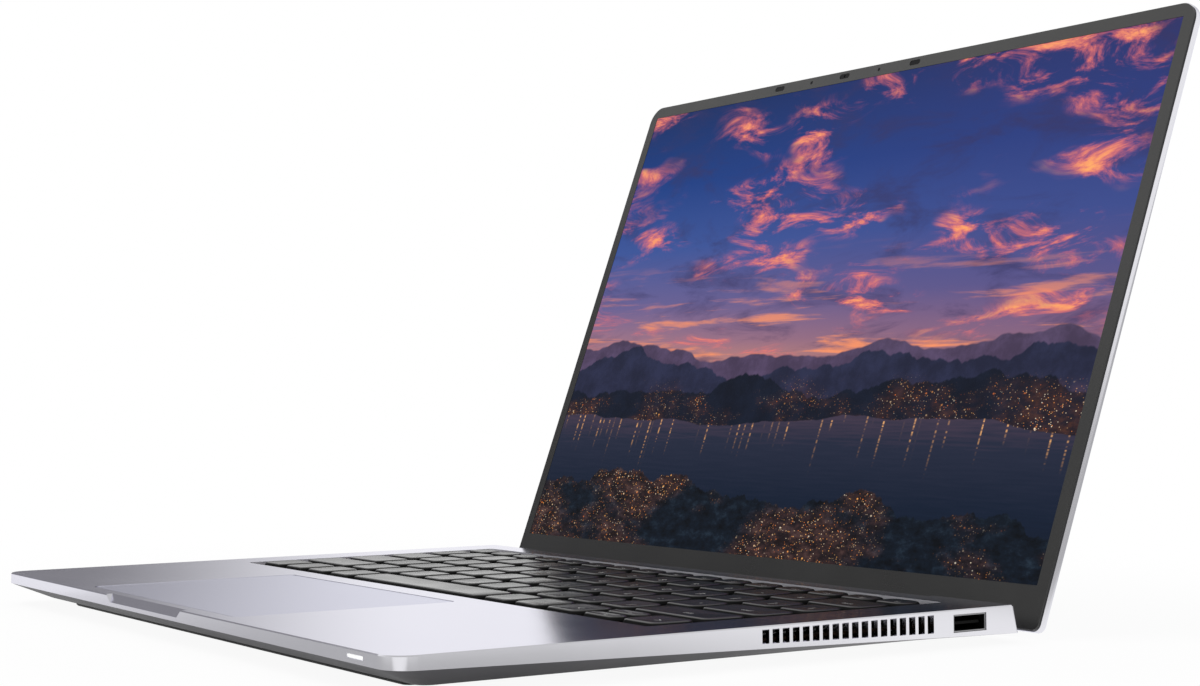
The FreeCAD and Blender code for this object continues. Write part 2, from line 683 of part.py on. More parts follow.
def hinge_feet(name):
    """The space of the hinge brackets' feet, which a high bottom cover leaves free."""
    cuts = []
    for sign in (1, -1):
        ends = span(sign, "arm_inner - flange_length - fit", f"{KNUCKLE_OUT} + fit")
        cuts.append(box(f"{name}{sign + 1}", *ends, f"{INSIDE_BACK} - riser_depth - 2 * fit", INSIDE_BACK,
                        "-hinge_below - neck_height / 2 - fit / 2", "0"))
    return cuts


def finger_scoop():
    """The slanting cut in the front edge for a finger."""
    scoop = doc.addObject("Part::Wedge", "FingerScoop")
    faces = [("Ymin", "0"), ("Ymax", "scoop_drop + over"), ("Zmin", "-scoop_heel"), ("Zmax", "over"),
             ("Z2min", "-scoop_run"), ("Z2max", "over")]
    for end, sign in (("min", "-"), ("max", "")):
        faces.append(("X" + end, f"{sign}(scoop_width / 2 - scoop_end)"))
        faces.append(("X2" + end, f"{sign}scoop_width / 2"))
    for side, text in faces:
        scoop.setExpression(side, tie(text))
    scoop.Placement.Rotation = FreeCAD.Rotation(X_AXIS, 90)
    place(scoop, "scoop_x", "0", "-scoop_drop")
    return scoop


def vent_slots():
    """The cuts of the side vent, each as high as the wedge of the band leaves."""
    slots = []
    for k in range(int(number("vent_count"))):
        front = f"vent_front + {k} * vent_pitch"
        low = f"vent_margin - band_front - {SLOPE} * ({front})"
        slots.append(box(f"Vent{k}", f"{HALF} - case_wall - over", f"{HALF} + over",
                         front, f"{front} + vent_slot", low, "-vent_top"))
    return slots


def rear_notch(item, name):
    """The cut for the hinge, through the rear of a casing."""
    notch = sketch(item, name)
    polygon(notch, [("-notch_width / 2", NOTCH_FRONT), ("notch_width / 2", NOTCH_FRONT),
                    ("notch_width / 2", "base_depth + over"), ("-notch_width / 2", "base_depth + over")])
    pocket(item, notch, "2 * base_height")


def case_block():
    """The outside of the top case: round front corners, leaning rear wall and sloping parting line."""
    case = body("CaseBody")
    outline = sketch(case, "CaseOutline")
    polygon(outline, [(f"-{HALF}", "0"), (HALF, "0"), (HALF, "base_depth"), (f"-{HALF}", "base_depth")])
    pad(case, outline, "band_rear", downward=True)
    rear = sketch(case, "RearLean", "YZ_Plane")
    lean_past = "rear_lean * over / band_rear"
    polygon(rear, [(f"base_depth - rear_lean - {lean_past}", "over"), ("base_depth + 2 * over", "over"),
                   ("base_depth + 2 * over", "-band_rear - over"),
                   (f"base_depth + {lean_past}", "-band_rear - over")])
    pocket(case, rear, "2 * base_width", middle=True)
    half_depth = number("base_depth / 2")
    dress(case, "Fillet", "corner_front", lambda edge: upright(edge) and edge.BoundBox.YMax < half_depth)
    dress(case, "Fillet", "corner_rear", lambda edge: steep(edge) and edge.BoundBox.YMin > half_depth)
    dress(case, "Chamfer", "deck_edge", at_height("0"))
    parting = sketch(case, "PartingSlope", "YZ_Plane")
    polygon(parting, [("-over", f"-band_front + over * {SLOPE}"), ("-over", "-band_rear - over"),
                      ("base_depth + over", "-band_rear - over"),
                      ("base_depth + over", f"-band_rear - over * {SLOPE}")])
    pocket(case, parting, "2 * base_width", middle=True)
    return case


def upper_case():
    """Top case: deck, side band, well, touchpad opening, rear notch, vents and port mouths."""
    case = case_block()
    inside = sketch(case, "CaseInside", offset="-case_top")
    rounded(inside, f"case_wall - {HALF}", f"{HALF} - case_wall", "case_wall", INSIDE_BACK,
            "corner_front - case_wall", "inside_corner")
    pocket(case, inside, "base_height")
    well_rim = sketch(case, "WellRim", offset="-case_top")
    rounded(well_rim, f"-{WELL_HALF} - rim", f"{WELL_HALF} + rim", f"{WELL_FRONT} - rim",
            f"{WELL_BACK} + rim", "well_corner + rim", "well_corner + rim")
    pad(case, well_rim, "well_sink - case_top", downward=True)
    well = sketch(case, "Well")
    rounded(well, f"-{WELL_HALF}", WELL_HALF, WELL_FRONT, WELL_BACK, "well_corner", "well_corner")
    pocket(case, well, "well_sink + over")
    opening = sketch(case, "TouchpadOpening")
    rounded(opening, "touchpad_x - touchpad_width / 2 - play", "touchpad_x + touchpad_width / 2 + play",
            "touchpad_front - play", "touchpad_front + touchpad_depth + play",
            "touchpad_corner + play", "touchpad_corner + play")
    pocket(case, opening, "case_top + over")
    rear_notch(case, "RearNotch")

    bosses = []
    tools = [finger_scoop()]
    for k, (x, y) in enumerate(SCREWS):
        bosses.append(stud(f"Boss{k}", x, y, FLOOR, "-case_top / 2", "boss_radius"))
        tools.append(stud(f"Bore{k}", x, y, f"{FLOOR} - over", "screw_length - base_height",
                          "screw_shank + fit"))
    tools.append(box("LightMouth", "light_x - light_width / 2 - fit", "light_x + light_width / 2 + fit",
                     "-over", "case_wall + over",
                     "-light_drop - light_height / 2 - fit", "-light_drop + light_height / 2 + fit"))
    tools += vent_slots() + port_mouths("Mouth") + hinge_necks("Neck")
    piece("upper_case", cut("UpperCase", fuse("CaseWithBosses", [case] + bosses), tools))


def bottom_cover():
    """Bevelled bottom shell: it meets the side band along the sloping parting line."""
    cover = body("CoverBody")
    high = sketch(cover, "CoverParting", offset="-band_front")
    slant = FreeCAD.Rotation(X_AXIS, -math.degrees(math.atan(number(SLOPE))))
    high.AttachmentOffset = FreeCAD.Placement(Vector(0, 0, -number("band_front")), slant)
    rounded(high, f"-{HALF}", HALF, "0", f"base_depth * sqrt(1 + {SLOPE} ^ 2)",
            "corner_front", "corner_rear")
    low = sketch(cover, "CoverUnderside", offset="-base_height")
    rounded(low, f"bevel_side - {HALF}", f"{HALF} - bevel_side", "bevel_front", "base_depth - bevel_rear",
            "corner_under", "corner_under")
    shell = cover.newObject("PartDesign::AdditiveLoft", "CoverShell")
    shell.Profile = high
    shell.Sections = [low]
    shell.Ruled = True
    doc.recompute()
    floor = sketch(cover, "CoverFloor", offset="-base_height")
    rounded(floor, f"bevel_side - {HALF}", f"{HALF} - bevel_side", "bevel_front", f"{INSIDE_BACK} - fit",
            "corner_under", "corner_under")
    pad(cover, floor, "cover_wall")
    hollow = sketch(cover, "CoverHollow", offset=FLOOR)
    rounded(hollow, f"bevel_side - {HALF} + fit", f"{HALF} - bevel_side - fit", "bevel_front + fit",
            f"{INSIDE_BACK} - 2 * fit", "corner_under", "corner_under")
    pocket(cover, hollow, "base_height", upward=True)
    rear_notch(cover, "CoverNotch")
    tools = port_mouths("CoverMouth") + hinge_necks("CoverNeck") + hinge_feet("CoverFoot")
    for k in range(int(number("intake_count"))):
        y = f"fan_y + ({k} - (intake_count - 1) / 2) * intake_pitch"
        tools.append(box(f"Intake{k}", "fan_x - intake_length / 2", "fan_x + intake_length / 2",
                         f"{y} - intake_slot / 2", f"{y} + intake_slot / 2",
                         "-base_height - over", f"{FLOOR} + over"))
    for sign in (-1, 1):
        ends = span(sign, "speaker_x - sound_length / 2", "speaker_x + sound_length / 2")
        for k in range(int(number("sound_count"))):
            y = f"{SPEAKER_Y} + ({k} - (sound_count - 1) / 2) * sound_pitch"
            tools.append(box(f"Sound{sign + 1}_{k}", *ends, f"{y} - sound_slot / 2", f"{y} + sound_slot / 2",
                             "-base_height - over", f"{FLOOR} + over"))
    for k, (x, y) in enumerate(SCREWS):
        shaft = stud(f"CoverBore{k}", x, y, "-base_height - over", f"{FLOOR} + over", "screw_shank + fit")
        seat = stud(f"CoverSeat{k}", x, y, "-base_height - over", "screw_head_height + fit - base_height",
                    "screw_head + fit")
        tools.append(fuse(f"CoverHole{k}", [shaft, seat]))
    piece("bottom_cover", cut("BottomCover", cover, tools))


def screws_and_feet():
    """Six flat-headed screws and two rubber strips."""
    screws = []
    for k, (x, y) in enumerate(SCREWS):
        head = stud(f"ScrewHead{k}", x, y, "fit - base_height", "screw_head_height + fit / 2 - base_height",
                    "screw_head")
        shank = stud(f"ScrewShank{k}", x, y, "fit - base_height", "screw_length - fit - base_height",
                     "screw_shank")
        screws.append(fuse(f"Screw{k}", [head, shank]))
    piece("bottom_screws", group("BottomScrews", screws))
    for label, y in (("foot_front", "foot_front_y"), ("foot_rear", "foot_rear_y")):
        foot = body(label + "Body")
        outline = sketch(foot, label + "Outline", offset="-base_height - foot_height")
        rounded(outline, "-foot_length / 2", "foot_length / 2", f"{y} - foot_width / 2",
                f"{y} + foot_width / 2", "foot_width / 2 - fit", "foot_width / 2 - fit")
        pad(foot, outline, "foot_height")
        dress(foot, "Chamfer", "foot_edge", at_height("-base_height - foot_height"))
        piece(label, foot)


def touchpad():
    """The plate that tilts, the tray that carries it and the switch under its front."""
    plate = body("TouchpadBody")
    outline = sketch(plate, "TouchpadOutline", offset="-fit")
    rounded(outline, "touchpad_x - touchpad_width / 2", "touchpad_x + touchpad_width / 2", "touchpad_front",
            "touchpad_front + touchpad_depth", "touchpad_corner", "touchpad_corner")
    pad(plate, outline, "touchpad_thickness", downward=True)
    dress(plate, "Chamfer", "touchpad_edge", at_height("-fit"))
    piece("touchpad_plate", plate)

    left = "touchpad_x - touchpad_width / 2 - tray_margin"
    right = "touchpad_x + touchpad_width / 2 + tray_margin"
    front = "touchpad_front - tray_margin"
    back = "touchpad_front + touchpad_depth + tray_margin"
    block = box("TrayBlock", left, right, front, back, TRAY_LOW, "-case_top")
    pan = trim("TrayPan", block, "touchpad_corner")
    dish = box("TrayDish", f"{left} + tray_wall", f"{right} - tray_wall", f"{front} + tray_wall",
               f"{back} - tray_wall", f"{TRAY_LOW} + tray_wall", "0")
    piece("touchpad_tray", cut("TouchpadTray", pan, [trim("TrayHollow", dish, "touchpad_corner")]))

    base = box("SwitchBase", "touchpad_x - switch_size / 2", "touchpad_x + switch_size / 2",
               f"{SWITCH_Y} - switch_size / 2", f"{SWITCH_Y} + switch_size / 2",
               f"{TRAY_LOW} + tray_wall", f"{TRAY_LOW} + tray_wall + switch_base")
    dome = stud("SwitchDome", "touchpad_x", SWITCH_Y, f"{TRAY_LOW} + tray_wall",
                "-fit - touchpad_thickness - click_travel - fit", "dome_radius")
    piece("touchpad_switch", fuse("TouchpadSwitch", [base, dome]))


def port(label, sign, y, width, height, depth, drop, corner):
    """A connector: a folded shell, open at the wall, with its tongue inside."""
    outer = span(sign, f"{HALF} - port_inset - {depth}", f"{HALF} - port_inset")
    inner = span(sign, f"{HALF} - port_inset - {depth} + 2 * shell_wall", f"{HALF} + over")
    tongue = span(sign, f"{HALF} - port_inset - {depth} + shell_wall", f"{HALF} - port_inset - tongue_inset")
    shell = sleeve(label + "Shell", outer, y, width, height, drop, corner, "0")
    mouth = sleeve(label + "Inside", inner, y, width, height, drop, corner, "(-shell_wall)")
    blade = box(label + "Tongue", *tongue,
                f"{y} - {width} / 2 + tongue_margin", f"{y} + {width} / 2 - tongue_margin",
                f"-{drop} - tongue_thickness / 2", f"-{drop} + tongue_thickness / 2")
    piece(label, fuse(label + "Port", [cut(label + "Folded", shell, [mouth]), blade]))


def status_light():
    """The light bar in the front edge."""
    bar = box("LightBar", "light_x - light_width / 2", "light_x + light_width / 2", "fit", "light_depth",
              "-light_drop - light_height / 2", "-light_drop + light_height / 2")
    piece("status_light", trim("StatusLight", bar, "light_corner", lengthways))


def fan_housing():
    """The flat scroll of the fan: open below, and at the side towards the fins."""
    mouth = f"{FIN_RIGHT} - fin_depth - fit"
    drum = post("FanDrum", "fan_x", "fan_y", FAN_LOW, FAN_TOP, "fan_radius")
    throat = box("FanThroat", "fan_x", mouth, "fan_y - fan_radius", "fan_y + fan_radius", FAN_LOW, FAN_TOP)
    chamber = post("FanChamber", "fan_x", "fan_y", f"{FAN_LOW} + fan_wall", f"{FAN_TOP} - fan_wall",
                   "fan_radius - fan_wall")
    duct = box("FanDuct", "fan_x", f"{mouth} + over", "fan_y - fan_radius + fan_wall",
               "fan_y + fan_radius - fan_wall", f"{FAN_LOW} + fan_wall", f"{FAN_TOP} - fan_wall")
    inlet = post("FanInlet", "fan_x", "fan_y", f"{FAN_LOW} - over", f"{FAN_LOW} + 2 * fan_wall", "fan_inlet")
    scroll = cut("FanScroll", fuse("FanBlock", [drum, throat]), [fuse("FanAir", [chamber, duct, inlet])])
    spindle = post("FanSpindle", "fan_x", "fan_y", f"{FAN_LOW} + 2 * fan_wall", FAN_TOP, "spindle_radius")
    piece("fan_housing", fuse("FanHousing", [scroll, spindle]))


def fan_rotor():
    """The hub on its spindle, with a ring of swept blades."""
    rotor = body("RotorBody")
    hub_low = f"{FAN_LOW} + fan_wall + play"
    hub_height = "fan_height - 2 * fan_wall - 2 * play"
    hub = sketch(rotor, "RotorHub", offset=hub_low)
    circle(hub, "0", "0", "hub_radius")
    circle(hub, "0", "0", "spindle_radius + spindle_play")
    pad(rotor, hub, hub_height)
    blade = sketch(rotor, "RotorBlade", offset=hub_low)
    polygon(blade, [("hub_radius - over", "0"), ("rotor_radius", "blade_sweep"),
                    ("rotor_radius", "blade_sweep + blade_thickness"),
                    ("hub_radius - over", "blade_thickness")])
    vane = pad(rotor, blade, hub_height)
    fan = rotor.newObject("PartDesign::PolarPattern", "RotorBlades")
    fan.Originals = [vane]
    fan.Axis = (hub, ["N_Axis"])
    fan.Angle = 360
    fan.setExpression("Occurrences", tie("blade_count"))
    rotor.Tip = fan
    doc.recompute()
    axis = FreeCAD.Placement(Vector(number("fan_x"), number("fan_y"), 0), FreeCAD.Rotation())
    piece("fan_rotor", rotor, BASE_PLACE.multiply(axis))


def fin_stack():
    """Thin upright fins on one sole, between the fan and the side vent."""
    fins = body("FinBody")
    fin_left = f"{FIN_RIGHT} - fin_depth"
    fin_pitch = "(2 * fan_radius - fin_thickness) / (fin_count - 1)"
    sole = sketch(fins, "FinSole", offset=FAN_LOW)
    polygon(sole, [(fin_left, "fan_y - fan_radius"), (FIN_RIGHT, "fan_y - fan_radius"),
                   (FIN_RIGHT, "fan_y + fan_radius"), (fin_left, "fan_y + fan_radius")])
    pad(fins, sole, "fin_thickness")
    leaf = sketch(fins, "FinLeaf", offset=FAN_LOW)
    polygon(leaf, [(fin_left, "fan_y - fan_radius"), (FIN_RIGHT, "fan_y - fan_radius"),
                   (FIN_RIGHT, "fan_y - fan_radius + fin_thickness"),
                   (fin_left, "fan_y - fan_radius + fin_thickness")])
    first_fin = pad(fins, leaf, "fin_height")
    stack = fins.newObject("PartDesign::LinearPattern", "FinStack")
    stack.Originals = [first_fin]
    stack.Direction = (leaf, ["V_Axis"])
    stack.setExpression("Length", tie(f"{fin_pitch} * (fin_count - 1)"))
    stack.setExpression("Occurrences", tie("fin_count"))
    fins.Tip = stack
    doc.recompute()
    piece("fin_stack", fins)


def heat_pipe():
    """The flattened pipe from the processor, bent round to lie on the fins."""
    pipe = body("PipeBody")
    along = f"({FIN_RIGHT} - fin_depth / 2)"
    lane = sketch(pipe, "PipeLane", offset=f"{FAN_LOW} + fin_height")
    polygon(lane, [("processor_x - processor_width / 2", "processor_y - pipe_width / 2"),
                   (f"{along} - pipe_width / 2", "processor_y - pipe_width / 2"),
                   (f"{along} - pipe_width / 2", "fan_y - fan_radius"),
                   (f"{along} + pipe_width / 2", "fan_y - fan_radius"),
                   (f"{along} + pipe_width / 2", "processor_y + pipe_width / 2"),
                   ("processor_x - processor_width / 2", "processor_y + pipe_width / 2")])
    pad(pipe, lane, "pipe_height")
    reach = number(along)

    def bend(edge, offset, sign):
        spot = Vector(reach + sign * offset, number("processor_y") + sign * offset, edge.BoundBox.Center.z)
        return upright(edge) and edge.BoundBox.Center.distanceToPoint(spot) < TINY

    half = number("pipe_width") / 2
    dress(pipe, "Fillet", "pipe_bend", lambda edge: bend(edge, half, -1))
    dress(pipe, "Fillet", "pipe_bend + pipe_width", lambda edge: bend(edge, half, 1))
    piece("heat_pipe", pipe)


def boards():
    """Mainboard with what is soldered or plugged on it."""
    board = box("BoardSheet", "board_left", "board_right", "board_front", "board_back", BOARD_LOW, BOARD_TOP)
    piece("mainboard", trim("Mainboard", board, "board_corner"))
    chip = box("ProcessorChip", "processor_x - processor_width / 2", "processor_x + processor_width / 2",
               "processor_y - processor_depth / 2", "processor_y + processor_depth / 2", BOARD_TOP,
               f"{FAN_LOW} + fin_height")
    piece("processor", trim("Processor", chip, "chip_corner"))
    chips = []
    for k in range(int(number("memory_count"))):
        x = f"processor_x + ({k} - (memory_count - 1) / 2) * memory_pitch"
        chips.append(box(f"Memory{k}", f"{x} - memory_width / 2", f"{x} + memory_width / 2",
                         "memory_y - memory_depth / 2", "memory_y + memory_depth / 2", BOARD_TOP, CHIP_TOP))
    piece("memory_chips", group("MemoryChips", chips))
    for label, left, length in (("ssd_card", "ssd_left", "ssd_length"),
                                ("wireless_card", "wireless_left", "wireless_length")):
        card = box(label + "Sheet", left, f"{left} + {length}", "card_front", "card_front + card_width",
                   BOARD_TOP, CHIP_TOP)
        piece(label, trim(label + "Card", card, "chip_corner"))


def battery_and_speakers():
    """The battery's frame with its cells, and a speaker at each side of it."""
    low = f"{FLOOR} + fit"
    block = box("BatteryBlock", "-battery_width / 2", "battery_width / 2", "battery_front",
                "battery_front + battery_depth", low, f"{low} + battery_height")
    bays = []
    cells = []
    pitch = "(battery_width - battery_wall) / cell_count"
    for k in range(int(number("cell_count"))):
        left = f"(-battery_width / 2 + battery_wall + {k} * {pitch})"
        right = f"({left} + {pitch} - battery_wall)"
        front = "battery_front + battery_wall"
        back = "battery_front + battery_depth - battery_wall"
        bays.append(box(f"Bay{k}", left, right, front, back,
                        f"{low} + battery_floor", f"{low} + base_height"))
        cell = box(f"Cell{k}", f"{left} + fit", f"{right} - fit", f"{front} + fit", f"{back} - fit",
                   f"{low} + battery_floor", f"{low} + battery_height - fit")
        cells.append(trim(f"CellTrim{k}", cell, "chip_corner"))
    piece("battery_frame", cut("BatteryFrame", block, bays))
    piece("battery_cells", group("BatteryCells", cells))

    def speaker(label, sign):
        left, right = span(sign, "speaker_x - speaker_width / 2", "speaker_x + speaker_width / 2")
        shell = box(label + "Shell", left, right, "speaker_front", "speaker_front + speaker_depth", low,
                    f"{low} + speaker_height")
        piece(label, trim(label + "Trim", shell, "speaker_corner"))

    mirrored("speaker", speaker)


def window(name, x, grow, low, high):
    """A long window with cut corners."""
    block = box(name + "Block", f"{x} - window_length / 2 - {grow}", f"{x} + window_length / 2 + {grow}",
                f"{DOT_Y} - window_height / 2 - {grow}", f"{DOT_Y} + window_height / 2 + {grow}", low, high)
    return trim(name, block, "window_corner")


def lid_shell():
    """Lid cover, display and bezel, lying on their back."""
    cover = body("LidBody")
    outline = sketch(cover, "LidOutline", offset="-lid_thickness")
    rounded(outline, f"-{HALF}", HALF, "-lid_tail", LID_TOP, "lid_corner_low", "lid_corner")
    pad(cover, outline, "lid_thickness - bezel_thickness")
    dress(cover, "Fillet", "lid_edge", at_height("-lid_thickness"))
    tray = sketch(cover, "LidTray", offset="-bezel_thickness")
    rounded(tray, f"lid_wall - {HALF}", f"{HALF} - lid_wall", "lid_wall - lid_tail", f"{LID_TOP} - lid_wall",
            "lid_corner_low - lid_wall", "lid_corner - lid_wall")
    pocket(cover, tray, "lid_thickness - bezel_thickness - lid_floor")
    piece("lid_cover", cover, LID_PLACE)

    panel = box("PanelBlock", "-screen_width / 2 - panel_side", "screen_width / 2 + panel_side",
                f"{SCREEN_LOW} - panel_foot", f"{SCREEN_HIGH} + panel_top",
                PANEL_BACK, "-bezel_thickness - fit / 2")
    glass = box("PanelGlass", "fit - screen_width / 2", "screen_width / 2 - fit",
                f"{SCREEN_LOW} + fit", f"{SCREEN_HIGH} - fit", "-bezel_thickness - fit", "-fit")
    piece("display_panel", fuse("DisplayPanel", [trim("PanelTrim", panel, "chip_corner"), glass]), LID_PLACE)

    bezel = body("BezelBody")
    frame = sketch(bezel, "BezelFrame", offset="-bezel_thickness")
    rounded(frame, f"bezel_inset - {HALF}", f"{HALF} - bezel_inset", "bezel_inset - lid_tail",
            f"{LID_TOP} - bezel_inset", "lid_corner_low - bezel_inset", "lid_corner - bezel_inset")
    pad(bezel, frame, "bezel_thickness")
    sight = sketch(bezel, "BezelOpening")
    polygon(sight, [("-screen_width / 2", SCREEN_LOW), ("screen_width / 2", SCREEN_LOW),
                    ("screen_width / 2", SCREEN_HIGH), ("-screen_width / 2", SCREEN_HIGH)])
    pocket(bezel, sight, "bezel_thickness + over")
    tools = []
    for side, sign in (("Right", 1), ("Left", -1)):
        left, right = span(sign, "arm_inner - play", "arm_inner + arm_width + play")
        tools.append(box("EarSlot" + side, left, right, "lid_wall - lid_tail", "bar_radius + over",
                         "-bezel_thickness - over", "over"))
    for k in range(-2, 3):
        x = f"(dot_x + {k} * dot_step)"
        if k % 2:
            hole = stud(f"DotHole{k + 2}", x, DOT_Y, "-bezel_thickness - over", "over",
                        "sensor_radius + fit")
        else:
            hole = window(f"DotHole{k + 2}", x, "fit", "-bezel_thickness - over", "over")
        tools.append(hole)
    piece("screen_bezel", cut("ScreenBezel", bezel, tools), LID_PLACE)


def camera_row():
    """The row of five dots in the top bezel, on one small board."""
    board = box("CameraSheet", "dot_x - camera_board_length / 2", "dot_x + camera_board_length / 2",
                f"{SCREEN_HIGH} + panel_top + fit", f"{LID_TOP} - lid_wall - fit", PANEL_BACK, CAMERA_TOP)
    piece("camera_board", trim("CameraBoard", board, "window_corner"), LID_PLACE)
    dish = post("LensDish", "dot_x", DOT_Y, "-fit - lens_depth", "over", "lens_radius")
    lens = cut("CameraLens", window("LensWindow", "dot_x", "0", CAMERA_TOP, "-fit"), [dish])
    piece("camera_lens", lens, LID_PLACE)
    sensors = [stud(f"Sensor{k + 1}", f"dot_x + {k} * dot_step", DOT_Y, CAMERA_TOP, "-fit", "sensor_radius")
               for k in (-1, 1)]
    piece("sensor_windows", group("SensorWindows", sensors), LID_PLACE)
    windows = [window(f"Infrared{k + 2}", f"(dot_x + {k} * dot_step)", "0", CAMERA_TOP, "-fit")
               for k in (-2, 2)]
    piece("infrared_windows", group("InfraredWindows", windows), LID_PLACE)


def knee(name, left, right, foot_low, foot_high, radius):
    """A bar or ear from the lid's face to the hinge axis, round at the axis."""
    item = body(name + "Body")
    web = sketch(item, name + "Web", "YZ_Plane", left)
    polygon(web, [(foot_low, "0"), (foot_high, "0"), (radius, HINGE_RISE), (f"-{radius}", HINGE_RISE)])
    pad(item, web, f"({right}) - ({left})")
    eye = sketch(item, name + "Eye", "YZ_Plane", left)
    circle(eye, "0", HINGE_RISE, radius)
    pad(item, eye, f"({right}) - ({left})")
    return item


def hinges():
    """Two drop hinges: bracket and knuckle in the base, arm and pin in the lid, cover between them."""
    def arm(label, sign):
        left, right = span(sign, "arm_inner", "arm_inner + arm_width")
        ear = knee(label + "Ear", left, right, EAR_LOW, EAR_HIGH, "knuckle_radius")
        foot = box(label + "Foot", left, right, EAR_LOW, EAR_HIGH, f"{PANEL_BACK} + fit", "0")
        flange = box(label + "Flange", *span(sign, "arm_inner - flange_length", "arm_inner + arm_width"),
                     EAR_LOW, f"{SCREEN_LOW} - panel_foot - play", f"{PANEL_BACK} + fit",
                     f"{PANEL_BACK} + fit + flange_thickness")
        bore = rod(label + "Bore", f"({left}) - over", f"({right}) + over", "0", HINGE_RISE,
                   "pin_radius + fit / 2")
        piece(label, cut(label + "Arm", fuse(label + "Solid", [ear, foot, flange]), [bore]), LID_PLACE)

    def pin_piece(label, sign):
        left, right = span(sign, "arm_inner", KNUCKLE_OUT)
        shaft = rod(label + "Rod", left, right, "0", HINGE_RISE, "pin_radius")
        piece(label, group(label + "Pin", [shaft]), LID_PLACE)

    def bracket(label, sign):
        neck = span(sign, KNUCKLE_IN, KNUCKLE_OUT)
        foot = span(sign, "arm_inner - flange_length", KNUCKLE_OUT)
        riser = box(label + "Riser", *foot, f"{INSIDE_BACK} - fit - riser_depth", f"{INSIDE_BACK} - fit",
                    "-hinge_below - neck_height / 2", "-case_top")
        bar = box(label + "Bar", *neck, f"{INSIDE_BACK} - fit - riser_depth", HINGE_Y,
                  "-hinge_below - neck_height / 2", "-hinge_below + neck_height / 2")
        eye = rod(label + "Eye", *neck, HINGE_Y, "-hinge_below", "knuckle_radius")
        bore = rod(label + "Bore", f"({neck[0]}) - over", f"({neck[1]}) + over", HINGE_Y, "-hinge_below",
                   "pin_radius + pin_play")
        piece(label, cut(label + "Bracket", fuse(label + "Solid", [riser, bar, eye]), [bore]))

    mirrored("hinge_arm", arm)
    mirrored("hinge_pin", pin_piece)
    mirrored("hinge_base", bracket)
    cover = knee("HingeCover", "arm_gap - arm_inner", "arm_inner - arm_gap", "lid_tail + fit", "bar_radius",
                 "bar_radius")
    piece("hinge_cover", cover, LID_PLACE)


keyboard()
upper_case()
bottom_cover()
screws_and_feet()
touchpad()
for row in PORTS:
    port(*row)
status_light()
fan_housing()
fan_rotor()
fin_stack()
heat_pipe()
boards()
battery_and_speakers()
lid_shell()
camera_row()
hinges()
doc.recompute()

# Nothing is written unless every object is sound.
for item in doc.Objects:
    if "Invalid" in item.State or "Error" in item.State:
        raise ValueError(f"{item.Label} failed: {item.State}")
for item in PIECES:
    if item.Shape.isNull() or not item.Shape.isValid():
        raise ValueError(f"{item.Label} has no sound shape")

os.makedirs("parts", exist_ok=True)
for item in PIECES:
    item.Shape.exportStep(f"parts/{item.Label}.step")
print(len(PIECES), "pieces; front edge at", round(front_edge, 3), "deck at", round(deck_top, 3))
print("hinge axis at", round(front_edge + number(HINGE_Y), 3), round(deck_top - number("hinge_below"), 3))
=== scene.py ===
import bmesh
import bpy
import json
import math
from mathutils import Matrix, Vector


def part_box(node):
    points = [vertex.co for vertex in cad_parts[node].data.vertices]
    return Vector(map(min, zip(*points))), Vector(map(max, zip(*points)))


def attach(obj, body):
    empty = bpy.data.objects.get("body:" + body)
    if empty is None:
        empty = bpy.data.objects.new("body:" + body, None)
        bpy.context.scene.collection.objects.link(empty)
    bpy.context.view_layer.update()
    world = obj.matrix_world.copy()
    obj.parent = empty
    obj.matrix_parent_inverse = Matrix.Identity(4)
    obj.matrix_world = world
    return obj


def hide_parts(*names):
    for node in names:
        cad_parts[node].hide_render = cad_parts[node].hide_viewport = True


# A 14-inch laptop, open on a white table. Sizes are in metres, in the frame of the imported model.

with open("model.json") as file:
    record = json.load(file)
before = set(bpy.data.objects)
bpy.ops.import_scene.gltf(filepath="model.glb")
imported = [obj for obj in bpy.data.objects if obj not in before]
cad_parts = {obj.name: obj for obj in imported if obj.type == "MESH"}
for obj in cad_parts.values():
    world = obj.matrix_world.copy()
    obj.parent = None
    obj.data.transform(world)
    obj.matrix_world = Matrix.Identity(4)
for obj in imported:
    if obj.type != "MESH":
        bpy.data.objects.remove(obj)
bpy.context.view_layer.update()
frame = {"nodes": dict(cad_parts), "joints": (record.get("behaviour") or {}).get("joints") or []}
NODES = frame["nodes"]
MM = 0.001
WHITE = (1.0, 1.0, 1.0)

# Places taken from the frame. The lid closes at its hinge's upper limit, which gives its lean at rest.
CASE_LOW, CASE_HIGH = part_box("upper_case")
DECK_TOP = CASE_HIGH.z
LID_HINGE = next(joint for joint in frame["joints"] if joint["name"] == "lid_hinge")
LID_LEAN = math.radians(LID_HINGE["range_deg"][1] - 90)
LID_UP = Vector((0, math.sin(LID_LEAN), math.cos(LID_LEAN)))


# Objects

def new_object(name, data):
    """A new object in the scene."""
    holder = bpy.data.objects.new(name, data)
    bpy.context.scene.collection.objects.link(holder)
    return holder


def mesh_object(name, mesh, *materials):
    """A new object in the scene from a finished mesh, with its materials."""
    data = bpy.data.meshes.new(name)
    mesh.to_mesh(data)
    mesh.free()
    for material in materials:
        data.materials.append(material)
    return new_object(name, data)


# Shader helpers

# A Mix node's colour sockets go by number, because their names repeat
MIX_FACTOR, MIX_FIRST, MIX_SECOND = (0, 6, 7)
MIX_RESULT = 2


def colour(red, green, blue):
    """A linear colour from screen values of 0 to 255, by the curve that screens use."""
    tone = []
    for share in (red / 255, green / 255, blue / 255):
        tone.append(share / 12.92 if share <= 0.04045 else ((share + 0.055) / 1.055) ** 2.4)
    return tuple(tone)


def feed(tree, socket, value):
    """Sets a socket to a value, or links another socket to it."""
    if isinstance(value, bpy.types.NodeSocket):
        tree.links.new(value, socket)
    elif isinstance(value, tuple) and len(value) == 3 and socket.type == "RGBA":
        socket.default_value = (*value, 1)
    else:
        socket.default_value = value


